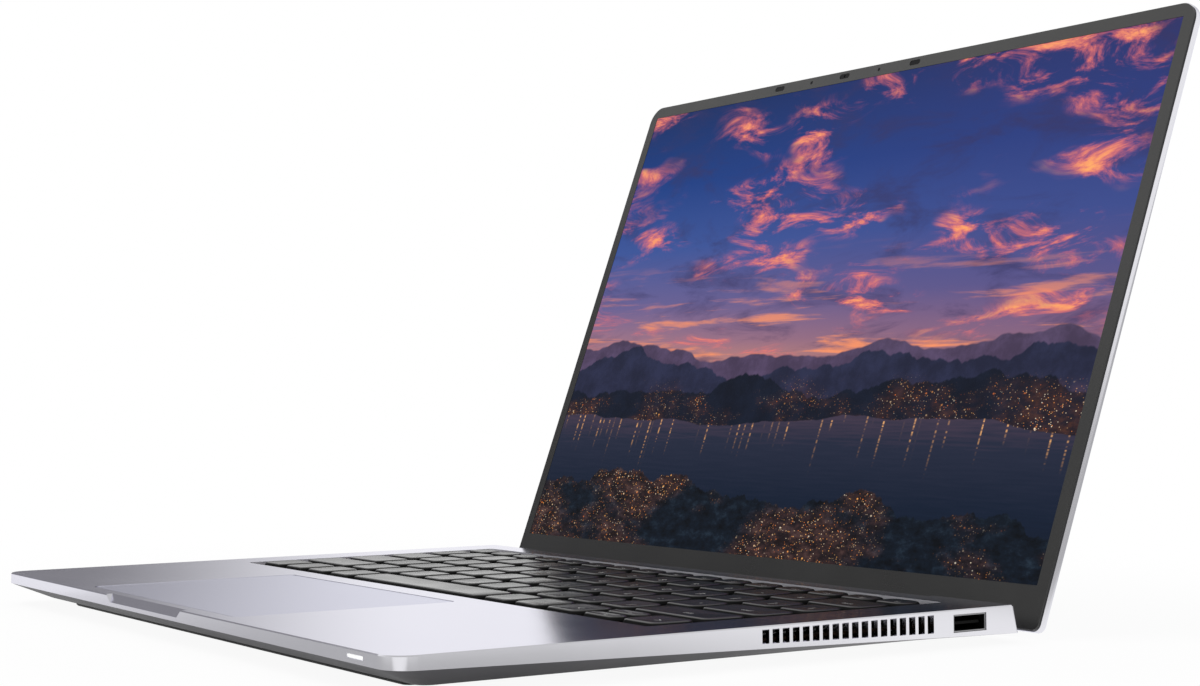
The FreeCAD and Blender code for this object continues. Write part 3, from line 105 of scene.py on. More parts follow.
def dress(tree, node, **sockets):
    """Feeds a node's sockets by name."""
    for name, value in sockets.items():
        feed(tree, node.inputs[name.replace("_", " ")], value)
    return node


def add(tree, kind, **sockets):
    """A new shader node with its sockets fed."""
    return dress(tree, tree.nodes.new("ShaderNode" + kind), **sockets)


def calc(tree, operation, *values):
    """The result of a Math node."""
    node = tree.nodes.new("ShaderNodeMath")
    node.operation = operation
    for socket, value in zip(node.inputs, values):
        feed(tree, socket, value)
    return node.outputs[0]


def times(tree, first, second):
    """The product of two values."""
    return calc(tree, "MULTIPLY", first, second)


def minus(tree, first, second):
    """The first value less the second."""
    return calc(tree, "SUBTRACT", first, second)


def line(tree, value, slope, offset):
    """A value times a slope, plus an offset."""
    return calc(tree, "MULTIPLY_ADD", value, slope, offset)


def larger(tree, first, second):
    """The larger of two values."""
    return calc(tree, "MAXIMUM", first, second)


def rise(tree, value, low, high, start=0.0, end=1.0):
    """A smooth step from start to end, as a value goes from low to high."""
    node = tree.nodes.new("ShaderNodeMapRange")
    node.interpolation_type = "SMOOTHSTEP"
    for socket, number in zip(node.inputs, (value, low, high, start, end)):
        feed(tree, socket, number)
    return node.outputs[0]


def fall(tree, value, low, high):
    """A smooth step from one to zero, as a value goes from low to high."""
    return rise(tree, value, low, high, 1.0, 0.0)


def blend(tree, factor, first, second, kind="MIX"):
    """Two colours mixed by a factor."""
    node = tree.nodes.new("ShaderNodeMix")
    node.data_type = "RGBA"
    node.blend_type = kind
    for index, value in ((MIX_FACTOR, factor), (MIX_FIRST, first), (MIX_SECOND, second)):
        feed(tree, node.inputs[index], value)
    return node.outputs[MIX_RESULT]


def ramp(tree, value, stops):
    """A colour that runs through stops, each a level and its tone, as a value rises."""
    node = tree.nodes.new("ShaderNodeValToRGB")
    elements = node.color_ramp.elements
    while len(elements) < len(stops):
        elements.new(1)
    for element, (level, tone) in zip(elements, stops):
        element.position = level
        element.color = (*tone, 1)
    feed(tree, node.inputs[0], value)
    return node.outputs[0]


def noise(tree, vector, scale, detail, roughness=0.5, distortion=0.0):
    """Cloudy noise of about zero to one."""
    node = add(tree, "TexNoise", Vector=vector, Scale=scale, Detail=detail, Roughness=roughness,
               Distortion=distortion)
    return node.outputs[0]


def spot(tree, *parts):
    """A vector put together from three values."""
    node = tree.nodes.new("ShaderNodeCombineXYZ")
    for socket, value in zip(node.inputs, parts):
        feed(tree, socket, value)
    return node.outputs[0]


def axes(tree, kind="Object"):
    """A point's place along X, Y and Z."""
    return add(tree, "SeparateXYZ", Vector=add(tree, "TexCoord").outputs[kind]).outputs


def mix_shaders(tree, factor, first, second):
    """Two shaders mixed by a factor."""
    node = tree.nodes.new("ShaderNodeMixShader")
    for socket, value in zip(node.inputs, (factor, first.outputs[0], second.outputs[0])):
        feed(tree, socket, value)
    return node


def start(name):
    """A new material with its tree and its shader."""
    material = bpy.data.materials.new(name)
    material.use_nodes = True
    tree = material.node_tree
    return material, tree, tree.nodes["Principled BSDF"]


def start_bare(name):
    """A new material with an empty tree and its output."""
    material = bpy.data.materials.new(name)
    material.use_nodes = True
    tree = material.node_tree
    tree.nodes.clear()
    return material, tree, add(tree, "OutputMaterial")


# Surface grain

GRAIN_SCALE = 3000.0
STAIN_SCALE = 30.0
STAIN_EDGE = (0.3, 0.7)
GRAIN_SHARE = 0.5
BUMP_DEPTH = 0.1 * MM


def fine_grain():
    """Shared surface grain: a fine height, and a slow tone for stains and handling."""
    tree = bpy.data.node_groups.new("fine_grain", "ShaderNodeTree")
    for name, value in (("Grain Scale", GRAIN_SCALE), ("Stain Scale", STAIN_SCALE)):
        socket = tree.interface.new_socket(name, in_out="INPUT", socket_type="NodeSocketFloat")
        socket.default_value = value
    for name in ("Height", "Stain"):
        tree.interface.new_socket(name, in_out="OUTPUT", socket_type="NodeSocketFloat")
    given = tree.nodes.new("NodeGroupInput")
    result = tree.nodes.new("NodeGroupOutput")
    place = add(tree, "TexCoord").outputs["Object"]
    height = noise(tree, place, given.outputs["Grain Scale"], detail=3.0, roughness=0.6)
    stain = noise(tree, place, given.outputs["Stain Scale"], detail=5.0, roughness=0.6, distortion=0.4)
    feed(tree, result.inputs["Height"], height)
    feed(tree, result.inputs["Stain"], rise(tree, stain, *STAIN_EDGE))
    return tree


GRAIN = fine_grain()


def finish(name, tone, roughness, metallic=0.0, grain=GRAIN_SCALE, bump=0.02, shade=0.06, wander=0.06,
           **sockets):
    """A solid finish with its own grain. Over the surface its tone darkens by up to the share given as shade,
    and its roughness varies by the amount given as wander."""
    material, tree, shader = start(name)
    group = tree.nodes.new("ShaderNodeGroup")
    group.node_tree = GRAIN
    group.inputs["Grain Scale"].default_value = grain
    height, stain = (group.outputs[output] for output in ("Height", "Stain"))
    mixed = line(tree, height, GRAIN_SHARE, times(tree, stain, 1 - GRAIN_SHARE))
    darker = tuple(value * (1 - shade) for value in tone)
    relief = add(tree, "Bump", Strength=bump, Distance=BUMP_DEPTH, Height=height)
    dress(tree, shader, Base_Color=blend(tree, mixed, darker, tone), Metallic=metallic,
          Roughness=line(tree, stain, wander, roughness - wander / 2), Normal=relief.outputs[0], **sockets)
    return material


# Screen picture: dusk over a bay between hills, with lights along the shore.
# Its places are measured from its lower left corner in shares of its height. An edge is the pair of levels
# between which a mask rises or falls, and a seed picks another stretch of the same noise.

# The panel's rim behind the bezel, so that the picture fills the bezel's opening
PANEL_SIDE = 1.8 * MM
PANEL_TOP = 1.4 * MM
PANEL_FOOT = 3.8 * MM
SCREEN_BLACK = (0.004, 0.004, 0.005)

HORIZON = 0.40
SKY_TONES = [
    (0.38, colour(205, 140, 118)),
    (0.44, colour(160, 116, 132)),
    (0.53, colour(104, 96, 146)),
    (0.66, colour(58, 84, 152)),
    (0.82, colour(20, 60, 130)),
    (1.00, colour(6, 42, 98)),
]
SKY_RIGHT_TONE = colour(62, 60, 122)
SKY_RIGHT_SHARE = 0.40

CLOUD_ACROSS = 1.5
CLOUD_UP = 4.2
CLOUD_FLATTENING = 0.7
CLOUD_BANK_EDGE = (0.45, 0.60)
FLEECE_EDGE = (0.47, 0.66)
FLEECE_TONES = [
    (0.45, colour(196, 92, 130)),
    (0.58, colour(244, 122, 112)),
    (0.70, colour(255, 176, 104)),
]
VEIL_EDGE = (0.47, 0.70)
VEIL_SHARE = 0.65
VEIL_TONE = colour(52, 48, 92)
STREAK_ACROSS = 1.2
STREAK_UP = 16.0
STREAK_SEED = 3.0
STREAK_EDGE = (0.54, 0.68)
STREAK_TOP = 0.66
STREAK_TONE = colour(250, 150, 104)

# From the farthest ridge to the nearest
HILLS = [
    dict(level=0.43, swing=0.13, rate=1.6, seed=11.0, detail=5.0, tone=colour(92, 76, 108)),
    dict(level=0.39, swing=0.15, rate=2.3, seed=23.0, detail=6.0, tone=colour(44, 48, 76)),
    dict(level=0.345, swing=0.12, rate=3.1, seed=37.0, detail=8.0, tone=colour(20, 28, 46)),
]
HILL_EDGE = (-0.002, 0.003)
RELIEF_EDGE = (0.35, 0.7)
RELIEF_SHADE = 0.55

SHORE_LEVEL = 0.27
SHORE_SWING = 0.05
SHORE_SEED = 51.0
SHORE_EDGE = (-0.001, 0.002)
RIPPLE_ACROSS = 3.0
RIPPLE_UP = 60.0
RIPPLE_SEED = 5.0
RIPPLE_MIDDLE = 0.5
RIPPLE_STRENGTH = 0.16
WATER_SLOPE = -1.6
WATER_FOOT = 0.84
WATER_TONES = [
    (0.38, colour(66, 56, 74)),
    (0.48, colour(36, 42, 62)),
    (0.66, colour(18, 30, 50)),
    (0.90, colour(8, 16, 30)),
]

HEADLAND_SEED = 77.0
HEADLAND_SWING = 0.34
HEADLAND_SLOPE = -0.04
HEADLAND_FOOT = -0.02
HEADLAND_EDGE = (-0.001, 0.003)
SCRUB_UP = 1.8
SCRUB_SEED = 9.0
SOIL_TONES = [
    (0.36, colour(4, 8, 14)),
    (0.54, colour(14, 24, 36)),
    (0.72, colour(36, 50, 64)),
]

TOWN_UP = 2.0
TOWN_SEED = 14.0
TOWN_EDGE = (0.44, 0.60)
TOWN_TOP = (0.31, 0.37)
HAZE_EDGE = (0.4, 0.7)
HAZE_SHARES = (0.01, 0.07)
HAZE_TONE = colour(255, 150, 60)

# From large lamps to small ones: the share given as dark stays unlit
LAMPS = [
    dict(scale=64.0, reach=0.22, seed=1.0, dark=0.62),
    dict(scale=112.0, reach=0.24, seed=2.0, dark=0.55),
    dict(scale=190.0, reach=0.30, seed=3.0, dark=0.45),
]
LAMP_UP = 1.3
LAMP_CORE = 0.03
LAMP_TONES = [
    (0.0, colour(255, 130, 40)),
    (0.5, colour(255, 190, 100)),
    (1.0, colour(255, 244, 220)),
]

TRAIL_SCALE = 46.0
TRAIL_WIDTH = (0.02, 0.16)
TRAIL_LIT = (0.35, 0.8)
TRAIL_SHORTEST = 0.02
TRAIL_LONGER = 0.11
TRAIL_RIPPLE = (0.42, 0.62)
TRAIL_STRENGTH = 0.8
TRAIL_TONE = colour(255, 186, 104)


def picture_axes(tree):
    """How far a point lies to the right in the picture and how far up, and the picture's width."""
    panel = NODES["display_panel"].data.vertices
    across = [vertex.co.x for vertex in panel]
    along = [vertex.co.dot(LID_UP) for vertex in panel]
    left = min(across) + PANEL_SIDE
    width = max(across) - PANEL_SIDE - left
    foot = min(along) + PANEL_FOOT
    height = max(along) - PANEL_TOP - foot
    climb = tree.nodes.new("ShaderNodeVectorMath")
    climb.operation = "DOT_PRODUCT"
    feed(tree, climb.inputs[0], add(tree, "TexCoord").outputs["Object"])
    climb.inputs[1].default_value = LID_UP
    u = line(tree, axes(tree)["X"], 1 / height, -left / height)
    v = line(tree, climb.outputs["Value"], 1 / height, -foot / height)
    return u, v, width / height


def dusk_sky(tree, u, v, width):
    """A dusk sky: a dark veil, lit fleecy clouds that flatten towards the horizon, and low streaks."""
    sky = ramp(tree, v, SKY_TONES)
    sky = blend(tree, times(tree, rise(tree, u, 0.0, width), SKY_RIGHT_SHARE), sky, SKY_RIGHT_TONE)

    lift = calc(tree, "POWER", larger(tree, minus(tree, v, HORIZON), 0.0), CLOUD_FLATTENING)
    drift = spot(tree, times(tree, u, CLOUD_ACROSS), times(tree, lift, CLOUD_UP), 0.0)
    veil = noise(tree, drift, scale=2.4, detail=8.0, roughness=0.62, distortion=0.6)
    sky = blend(tree, times(tree, rise(tree, veil, *VEIL_EDGE), VEIL_SHARE), sky, VEIL_TONE)
    bank = noise(tree, drift, scale=1.6, detail=3.0, distortion=0.3)
    fleece = noise(tree, drift, scale=3.3, detail=12.0, roughness=0.66, distortion=0.9)
    lit = times(tree, rise(tree, fleece, *FLEECE_EDGE), rise(tree, bank, *CLOUD_BANK_EDGE))
    sky = blend(tree, lit, sky, ramp(tree, fleece, FLEECE_TONES))

    stretched = spot(tree, times(tree, u, STREAK_ACROSS), times(tree, v, STREAK_UP), STREAK_SEED)
    streak = noise(tree, stretched, scale=2.0, detail=9.0, roughness=0.6, distortion=0.3)
    low_sky = fall(tree, v, HORIZON, STREAK_TOP)
    return blend(tree, times(tree, rise(tree, streak, *STREAK_EDGE), low_sky), sky, STREAK_TONE)


def hill(tree, u, v, picture, level, swing, rate, seed, detail, tone):
    """The picture with one ridge of hills laid over it."""
    outline = noise(tree, spot(tree, u, seed, 0.0), rate, detail, roughness=0.55)
    top = line(tree, outline, 2 * swing, level - swing)
    relief = noise(tree, spot(tree, u, v, seed), scale=14.0, detail=9.0, roughness=0.65)
    darker = tuple(RELIEF_SHADE * value for value in tone)
    shaded = blend(tree, rise(tree, relief, *RELIEF_EDGE), darker, tone)
    return blend(tree, rise(tree, minus(tree, top, v), *HILL_EDGE), picture, shaded)


def town_lamps(tree, u, v):
    """Points of warm light in three sizes."""
    lamps = colour(0, 0, 0)
    for size in LAMPS:
        place = spot(tree, u, times(tree, v, LAMP_UP), size["seed"])
        cell = add(tree, "TexVoronoi", Vector=place, Scale=size["scale"])
        pick = add(tree, "SeparateColor", Color=cell.outputs["Color"])
        point = fall(tree, cell.outputs["Distance"], LAMP_CORE, size["reach"])
        chosen = calc(tree, "GREATER_THAN", pick.outputs["Red"], size["dark"])
        tint = ramp(tree, pick.outputs["Green"], LAMP_TONES)
        lamps = blend(tree, times(tree, point, chosen), lamps, tint)
    return lamps


def lamp_trails(tree, u, v, shore, ripple):
    """How strongly lamps along the shore are drawn out over the ripples below it."""
    column = add(tree, "TexVoronoi", Scale=TRAIL_SCALE)
    column.voronoi_dimensions = "1D"
    feed(tree, column.inputs["W"], u)
    pick = add(tree, "SeparateColor", Color=column.outputs["Color"])
    trail = times(tree, fall(tree, column.outputs["Distance"], *TRAIL_WIDTH),
                  rise(tree, pick.outputs["Red"], *TRAIL_LIT))
    reach = line(tree, pick.outputs["Green"], TRAIL_LONGER, TRAIL_SHORTEST)
    below = fall(tree, minus(tree, shore, v), 0.0, reach)
    shimmer = times(tree, rise(tree, ripple, *TRAIL_RIPPLE), below)
    return times(tree, times(tree, trail, shimmer), TRAIL_STRENGTH)


def screen_picture():
    """A lit screen. Sky, hills, bay and headland are laid over each other, and then the lights are added."""
    material, tree, shader = start("screen_picture")
    u, v, width = picture_axes(tree)
    picture = dusk_sky(tree, u, v, width)
    for ridge in HILLS:
        picture = hill(tree, u, v, picture, **ridge)

    stretched = spot(tree, times(tree, u, RIPPLE_ACROSS), times(tree, v, RIPPLE_UP), RIPPLE_SEED)
    ripple = noise(tree, stretched, scale=3.0, detail=6.0)
    sway = minus(tree, ripple, RIPPLE_MIDDLE)
    mirror = line(tree, sway, RIPPLE_STRENGTH, line(tree, v, WATER_SLOPE, WATER_FOOT))
    coast = noise(tree, spot(tree, u, SHORE_SEED, 0.0), scale=2.6, detail=6.0)
    shore = line(tree, coast, 2 * SHORE_SWING, SHORE_LEVEL - SHORE_SWING)
    wet = rise(tree, minus(tree, shore, v), *SHORE_EDGE)
    picture = blend(tree, wet, picture, ramp(tree, mirror, WATER_TONES))

    outline = noise(tree, spot(tree, u, HEADLAND_SEED, 0.0), scale=2.2, detail=10.0, roughness=0.6)
    top = line(tree, outline, HEADLAND_SWING, line(tree, u, HEADLAND_SLOPE, HEADLAND_FOOT))
    land = rise(tree, minus(tree, top, v), *HEADLAND_EDGE)
    ground = spot(tree, u, times(tree, v, SCRUB_UP), SCRUB_SEED)
    scrub = noise(tree, ground, scale=26.0, detail=10.0, roughness=0.7)
    picture = blend(tree, land, picture, ramp(tree, scrub, SOIL_TONES))

    streets = spot(tree, u, times(tree, v, TOWN_UP), TOWN_SEED)
    town = noise(tree, streets, scale=3.4, detail=4.0, roughness=0.6)
    dry = larger(tree, land, minus(tree, 1.0, wet))
    built = times(tree, times(tree, rise(tree, town, *TOWN_EDGE), dry), fall(tree, v, *TOWN_TOP))
    picture = blend(tree, built, picture, town_lamps(tree, u, v), "ADD")
    haze = times(tree, built, rise(tree, scrub, *HAZE_EDGE, *HAZE_SHARES))
    picture = blend(tree, haze, picture, HAZE_TONE, "ADD")
    open_water = times(tree, wet, minus(tree, 1.0, land))
    trails = times(tree, lamp_trails(tree, u, v, shore, ripple), open_water)
    picture = blend(tree, trails, picture, TRAIL_TONE, "ADD")

    dress(tree, shader, Base_Color=SCREEN_BLACK, Roughness=0.32, Specular_IOR_Level=0.04,
          Emission_Color=picture, Emission_Strength=1.0)
    return material


# Finishes with a mask

WELL_LIP = 0.02 * MM
WELL_ROUGHER = 0.45
PORT_BRIGHT = 0.3 * MM
PORT_DARK = 0.7 * MM
# Black plastic for the tongue, and painted shade on the shell's inner walls past the mouth
PORT_BLACK_AND_SHADE = (0.004, 0.004, 0.004)
PORT_PLATED = (0.30, 0.30, 0.31)
PORT_BLACK_AND_SHADE_ROUGHNESS = 0.6
PORT_PLATED_ROUGHNESS = 0.32


def port_metal_and_shade():
    """A plated shell that turns black a little way inside its mouth: black plastic for the tongue, and
    painted shade on the shell's walls further in.
    """
    material, tree, shader = start("port_shell")
    out = calc(tree, "ABSOLUTE", axes(tree)["X"])
    # Deeper than this rim the shell is painted black as shade
    rim = rise(tree, out, CASE_HIGH.x - PORT_DARK, CASE_HIGH.x - PORT_BRIGHT)
    roughness = rise(tree, rim, 0.0, 1.0, PORT_BLACK_AND_SHADE_ROUGHNESS, PORT_PLATED_ROUGHNESS)
    dress(tree, shader, Base_Color=blend(tree, rim, PORT_BLACK_AND_SHADE, PORT_PLATED), Metallic=rim,
          Roughness=roughness, Specular_IOR_Level=0.1)
    return material


def anodised_silver():
    """Fine-blasted aluminium with a faint violet cast. Inside the keyboard well it is left rough."""
    material = finish("anodised_silver", (0.80, 0.795, 0.84), 0.15, metallic=1.0, grain=5200.0, bump=0.015,
                      shade=0.04, wander=0.02, Specular_Tint=(0.93, 0.925, 0.99))
    tree = material.node_tree
    low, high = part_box("keyboard_plate")
    axis = axes(tree)
    sunk = calc(tree, "LESS_THAN", axis["Z"], DECK_TOP - WELL_LIP)
    between_sides = calc(tree, "LESS_THAN", calc(tree, "ABSOLUTE", axis["X"]), high.x)
    between_ends = calc(tree, "COMPARE", axis["Y"], (low.y + high.y) / 2, (high.y - low.y) / 2)
    inside = times(tree, times(tree, sunk, between_sides), between_ends)
    socket = tree.nodes["Principled BSDF"].inputs["Roughness"]
    feed(tree, socket, line(tree, inside, WELL_ROUGHER, socket.links[0].from_socket))
    return material


# Finishes of the pieces

SILVER = anodised_silver()
TOUCHPAD = finish("touchpad_glass", (0.74, 0.74, 0.81), 0.22, metallic=1.0, grain=7000.0, bump=0.004,
                  shade=0.015, wander=0.01, Specular_Tint=(0.90, 0.90, 0.985))
COVER = finish("dark_cover", (0.066, 0.064, 0.075), 0.46, grain=2600.0, bump=0.08, shade=0.15,
               Specular_IOR_Level=0.25)
BEZEL = finish("bezel_plastic", (0.012, 0.012, 0.011), 0.30, grain=2400.0, bump=0.06, shade=0.12,
               Specular_IOR_Level=0.7)
KEYCAP = finish("keycap_plastic", (0.014, 0.014, 0.013), 0.22, grain=3600.0, bump=0.05, shade=0.2,
                Specular_IOR_Level=0.8)
# Darker and matt: painted shade on the sides of the caps, down in the gaps between keys
KEY_SIDE_SHADE = finish("keycap_side_painted_shade", (0.006, 0.006, 0.006), 0.6, Specular_IOR_Level=0.1)
LEGEND = finish("key_legend", (0.40, 0.40, 0.39), 0.5)
PLATE = finish("keyboard_plate_paint", (0.010, 0.010, 0.010), 0.6, grain=2000.0)
RUBBER = finish("foot_rubber", (0.022, 0.022, 0.022), 0.75, grain=1500.0, bump=0.25, shade=0.3)
HINGE = finish("hinge_steel", (0.075, 0.075, 0.08), 0.42, metallic=0.3)
STEEL = finish("sheet_steel", (0.56, 0.56, 0.57), 0.28, metallic=1.0)
# Near black for copper and fins: painted shade, so that what shows through the vents stays as dark as shade
SHADED_COPPER = finish("copper_dark_as_painted_shade", (0.055, 0.034, 0.026), 0.5, metallic=1.0)
SCREW = finish("screw_steel", (0.30, 0.30, 0.31), 0.36, metallic=1.0, grain=2500.0)
SHADED_FINS = finish("fins_black_as_painted_shade", (0.012, 0.011, 0.011), 0.5, metallic=0.6)
BOARD = finish("circuit_board", (0.014, 0.075, 0.045), 0.38, grain=900.0, bump=0.15, shade=0.5)
CHIP = finish("chip_resin", (0.028, 0.028, 0.030), 0.55)
CELL = finish("battery_foil", (0.05, 0.05, 0.055), 0.40, metallic=0.2)
BLACK = finish("black_plastic", (0.022, 0.022, 0.023), 0.5)
GLASS = finish("dark_glass", (0.005, 0.005, 0.006), 0.12, bump=0.0, Specular_IOR_Level=0.08)
LIGHT = finish("light_bar", (0.9, 0.9, 0.9), 0.3, Emission_Color=WHITE, Emission_Strength=0.35)

FINISHES = {
    SILVER: ["upper_case", "lid_cover"],
    TOUCHPAD: ["touchpad_plate"],
    COVER: ["bottom_cover"],
    BEZEL: ["screen_bezel", "hinge_cover"],
    PLATE: ["keyboard_plate"],
    RUBBER: ["foot_front", "foot_rear"],
    port_metal_and_shade(): ["usb_a_port", "usb_c_port_front", "usb_c_port_rear", "hdmi_port"],
    HINGE: ["hinge_base_left", "hinge_base_right", "hinge_arm_left", "hinge_arm_right", "hinge_pin_left",
            "hinge_pin_right"],
    SCREW: ["bottom_screws"],
    STEEL: ["touchpad_tray", "fan_housing"],
    SHADED_COPPER: ["heat_pipe"],
    SHADED_FINS: ["fin_stack"],
    BOARD: ["mainboard", "ssd_card", "wireless_card", "camera_board"],
    CHIP: ["processor", "memory_chips"],
    CELL: ["battery_cells"],
    BLACK: ["battery_frame", "speaker_left", "speaker_right", "fan_rotor", "touchpad_switch"],
    GLASS: ["camera_lens", "infrared_windows", "sensor_windows"],
    LIGHT: ["status_light"],
    screen_picture(): ["display_panel"],
}
for material, names in FINISHES.items():
    for name in names:
        NODES[name].data.materials.clear()
        NODES[name].data.materials.append(material)


# Keycaps

KEY_APART = 0.1 * MM
KEY_DRAFT = 0.7 * MM
KEY_CORNER = 2.4 * MM
KEY_CORNER_STEPS = 4
KEY_ROUND = 0.7 * MM
KEY_ROUND_STEPS = 3
KEY_DISH = 0.36 * MM
KEY_DISH_RINGS = (0.8, 0.55, 0.28)
HOLLOW_CORNER = 0.2 * MM

# Where a cap's outside and the finish of its top start, counted in rings from the roof of its hollow. Below
# the top's finish the sides and the foot of the round edge are darker and matt, as painted shade of the gaps
# between keys
OUTSIDE_LEVEL = 2
TOP_LEVEL = 4
CAP_TOP, CAP_SIDE_SHADE, CAP_LEGEND = range(3)

LEGEND_RAISE = 0.012 * MM
LEGEND_LETTER = 4.6 * MM
LEGEND_WORD = 2.5 * MM
LEGEND_LARGEST_SHARE = 0.5
LEGEND_STEPS = 3
LEGENDS = {
    "function_keys": ["esc"] + [f"F{k}" for k in range(1, 13)] + ["prt", "del"],
    "power_key": ["on"],
    "number_keys": list("`1234567890-="),
    "backspace": ["back"],
    "tab": ["tab"],
    "top_letter_keys": list("QWERTYUIOP[]\\"),
    "caps_lock": ["caps"],
    "home_letter_keys": list("ASDFGHJKL;'"),
    "enter": ["enter"],
    "left_shift": ["shift"],
    "bottom_letter_keys": list("ZXCVBNM,./"),
    "right_shift": ["shift"],
    "left_modifier_keys": ["ctrl", "fn", "meta", "alt"],
    "space_bar": [""],
    "right_modifier_keys": ["alt", "ctrl"],
    "arrow_left": ["<"],
    "arrow_up": ["^"],
    "arrow_down": ["v"],
    "arrow_right": [">"],
}


def key_boxes(node):
    """For each key of a node, from left to right: its lowest and highest corner, and its hollow's highest."""
    mesh = NODES[node].data
    low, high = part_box(node)
    spans = sorted((min(mesh.vertices[k].co.x for k in face.vertices),
                    max(mesh.vertices[k].co.x for k in face.vertices)) for face in mesh.polygons)
    merged = [list(spans[0])]
    for left, right in spans[1:]:
        if left > merged[-1][1] + KEY_APART:
            merged.append([left, right])
        merged[-1][1] = max(merged[-1][1], right)
    roofs = [vertex.co for vertex in mesh.vertices if low.z + KEY_APART < vertex.co.z < high.z - KEY_APART]
    boxes = []
    for left, right in merged:
        roof = [corner for corner in roofs if left < corner.x < right]
        hollow = Vector((max(corner.x for corner in roof), max(corner.y for corner in roof), roof[0].z))
        boxes.append((Vector((left, low.y, low.z)), Vector((right, high.y, high.z)), hollow))
    return boxes


def ring(half_width, half_depth, radius):
    """A rectangle with round corners."""
    points = []
    for quarter, (side, end) in enumerate(((1, 1), (-1, 1), (-1, -1), (1, -1))):
        for step in range(KEY_CORNER_STEPS + 1):
            angle = math.pi / 2 * (quarter + step / KEY_CORNER_STEPS)
            points.append((side * (half_width - radius) + radius * math.cos(angle),
                           end * (half_depth - radius) + radius * math.sin(angle)))
    return points


def dished(high, share):
    """The height of a dished top, at a share of the way from its middle to its edge."""
    return high.z - KEY_DISH * (1 - share ** 2)


def cap_rings(low, high, hollow):
    """The rings of a cap about its middle, from the roof of its hollow to the last ring of its dish."""
    middle = (low + high) / 2
    width = (high.x - low.x) / 2
    depth = (high.y - low.y) / 2
    inside = ring(hollow.x - middle.x, hollow.y - middle.y, HOLLOW_CORNER)
    rings = [[(x, y, hollow.z) for x, y in inside], [(x, y, low.z) for x, y in inside]]
    rings.append([(x, y, low.z) for x, y in ring(width, depth, KEY_CORNER)])
    for step in range(KEY_ROUND_STEPS + 1):
        angle = math.pi / 2 * step / KEY_ROUND_STEPS
        inset = KEY_DRAFT + KEY_ROUND * (1 - math.cos(angle))
        height = high.z - KEY_ROUND * (1 - math.sin(angle))
        rings.append([(x, y, height) for x, y in ring(width - inset, depth - inset, KEY_CORNER)])
    top = rings[-1]
    for share in KEY_DISH_RINGS:
        rings.append([(x * share, y * share, dished(high, share)) for x, y, z in top])
    return rings


def keycap(mesh, low, high, hollow):
    """A keycap with leaning sides, a round edge and a dished top, hollow where its guide post enters."""
    middle = (low + high) / 2
    layers = [[mesh.verts.new((middle.x + x, middle.y + y, z)) for x, y, z in points]
              for points in cap_rings(low, high, hollow)]
    count = len(layers[0])
    for level, (lower, upper) in enumerate(zip(layers, layers[1:])):
        for k in range(count):
            face = mesh.faces.new((lower[k], lower[(k + 1) % count], upper[(k + 1) % count], upper[k]))
            face.smooth = level >= OUTSIDE_LEVEL
            face.material_index = CAP_TOP if level >= TOP_LEVEL else CAP_SIDE_SHADE
    centre = mesh.verts.new((middle.x, middle.y, dished(high, 0)))
    for k in range(count):
        mesh.faces.new((layers[-1][k], layers[-1][(k + 1) % count], centre)).smooth = True
    mesh.faces.new(list(reversed(layers[0]))).material_index = CAP_SIDE_SHADE


def legend(mesh, text, low, high):
    """The lettering of one key, laid on its dished top."""
    size = LEGEND_LETTER if len(text) == 1 else LEGEND_WORD
    curve = bpy.data.curves.new("legend", "FONT")
    curve.body = text
    curve.size = min(size, LEGEND_LARGEST_SHARE * (high.y - low.y))
    curve.align_x = "CENTER"
    curve.align_y = "CENTER"
    curve.extrude = LEGEND_RAISE
    curve.resolution_u = LEGEND_STEPS
    holder = bpy.data.objects.new("legend", curve)
    letters = bpy.data.meshes.new_from_object(holder)
    half = (high - low) / 2
    middle = low + half
    for vertex in letters.vertices:
        share = max(abs(vertex.co.x) / half.x, abs(vertex.co.y) / half.y)
        vertex.co += Vector((middle.x, middle.y, dished(high, share)))
    first = len(mesh.faces)
    mesh.from_mesh(letters)
    mesh.faces.ensure_lookup_table()
    for face in mesh.faces[first:]:
        face.material_index = CAP_LEGEND
    bpy.data.objects.remove(holder)
    bpy.data.curves.remove(curve)
    bpy.data.meshes.remove(letters)


def key_caps(node, words):
    """The caps of one node's keys with their legends. They ride on the body of the same name, and stand for
    the plainer caps of the frame."""
    mesh = bmesh.new()
    boxes = key_boxes(node)
    for low, high, hollow in boxes:
        keycap(mesh, low, high, hollow)
    for (low, high, hollow), text in zip(boxes, words):
        if text:
            legend(mesh, text, low, high)
    caps = mesh_object(node + "_caps", mesh, KEYCAP, KEY_SIDE_SHADE, LEGEND)
    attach(caps, node)
    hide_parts(node)


for node, words in LEGENDS.items():
    key_caps(node, words)


# Table and room

TABLE_RADIUS = 12.0
TABLE_SIDES = 96
TABLE_TONE = (0.86, 0.86, 0.86)

# How bright the table is seen beside the laptop, and how bright metal mirrors it around the laptop. What
# metal
# mirrors is painted light: a painted shadow greys it near the base and behind it, and it is painted lighter
# to the left
NEAR_SEEN = 0.93
NEAR_MIRRORED_SHADE = 0.52
LEFT_MIRRORED_LIGHT = 0.84
REAR_MIRRORED_SHADE = 0.5

# Where these levels pass into each other: distances from the base, or places along the table
SEEN_FADE = (0.0, 0.30)
PAINTED_SHADOW_FADE = (0.06, 0.13)
CORNER_HIGHLIGHT_FADE = (0.0, 0.026)
LEFT_FADE = (-0.22, 0.05)
SIDE_FADE = (-0.10, 0.06)
REAR_FADE = (0.09, 0.22)

# The room's light, and how bright metal mirrors its ceiling and the walls before and behind the camera.
# The fades are parts of a direction: upwards for the ceiling and a wall's foot, along the view for a wall.
ROOM_LIGHT = 0.62
CEILING_MIRRORED = 0.62
CEILING_FADE = (0.46, 0.97)
WALL_MIRRORED = 0.66
WALL_FADE = (0.70, 1.25)
WALL_FOOT_FADE = (0.15, 0.32)


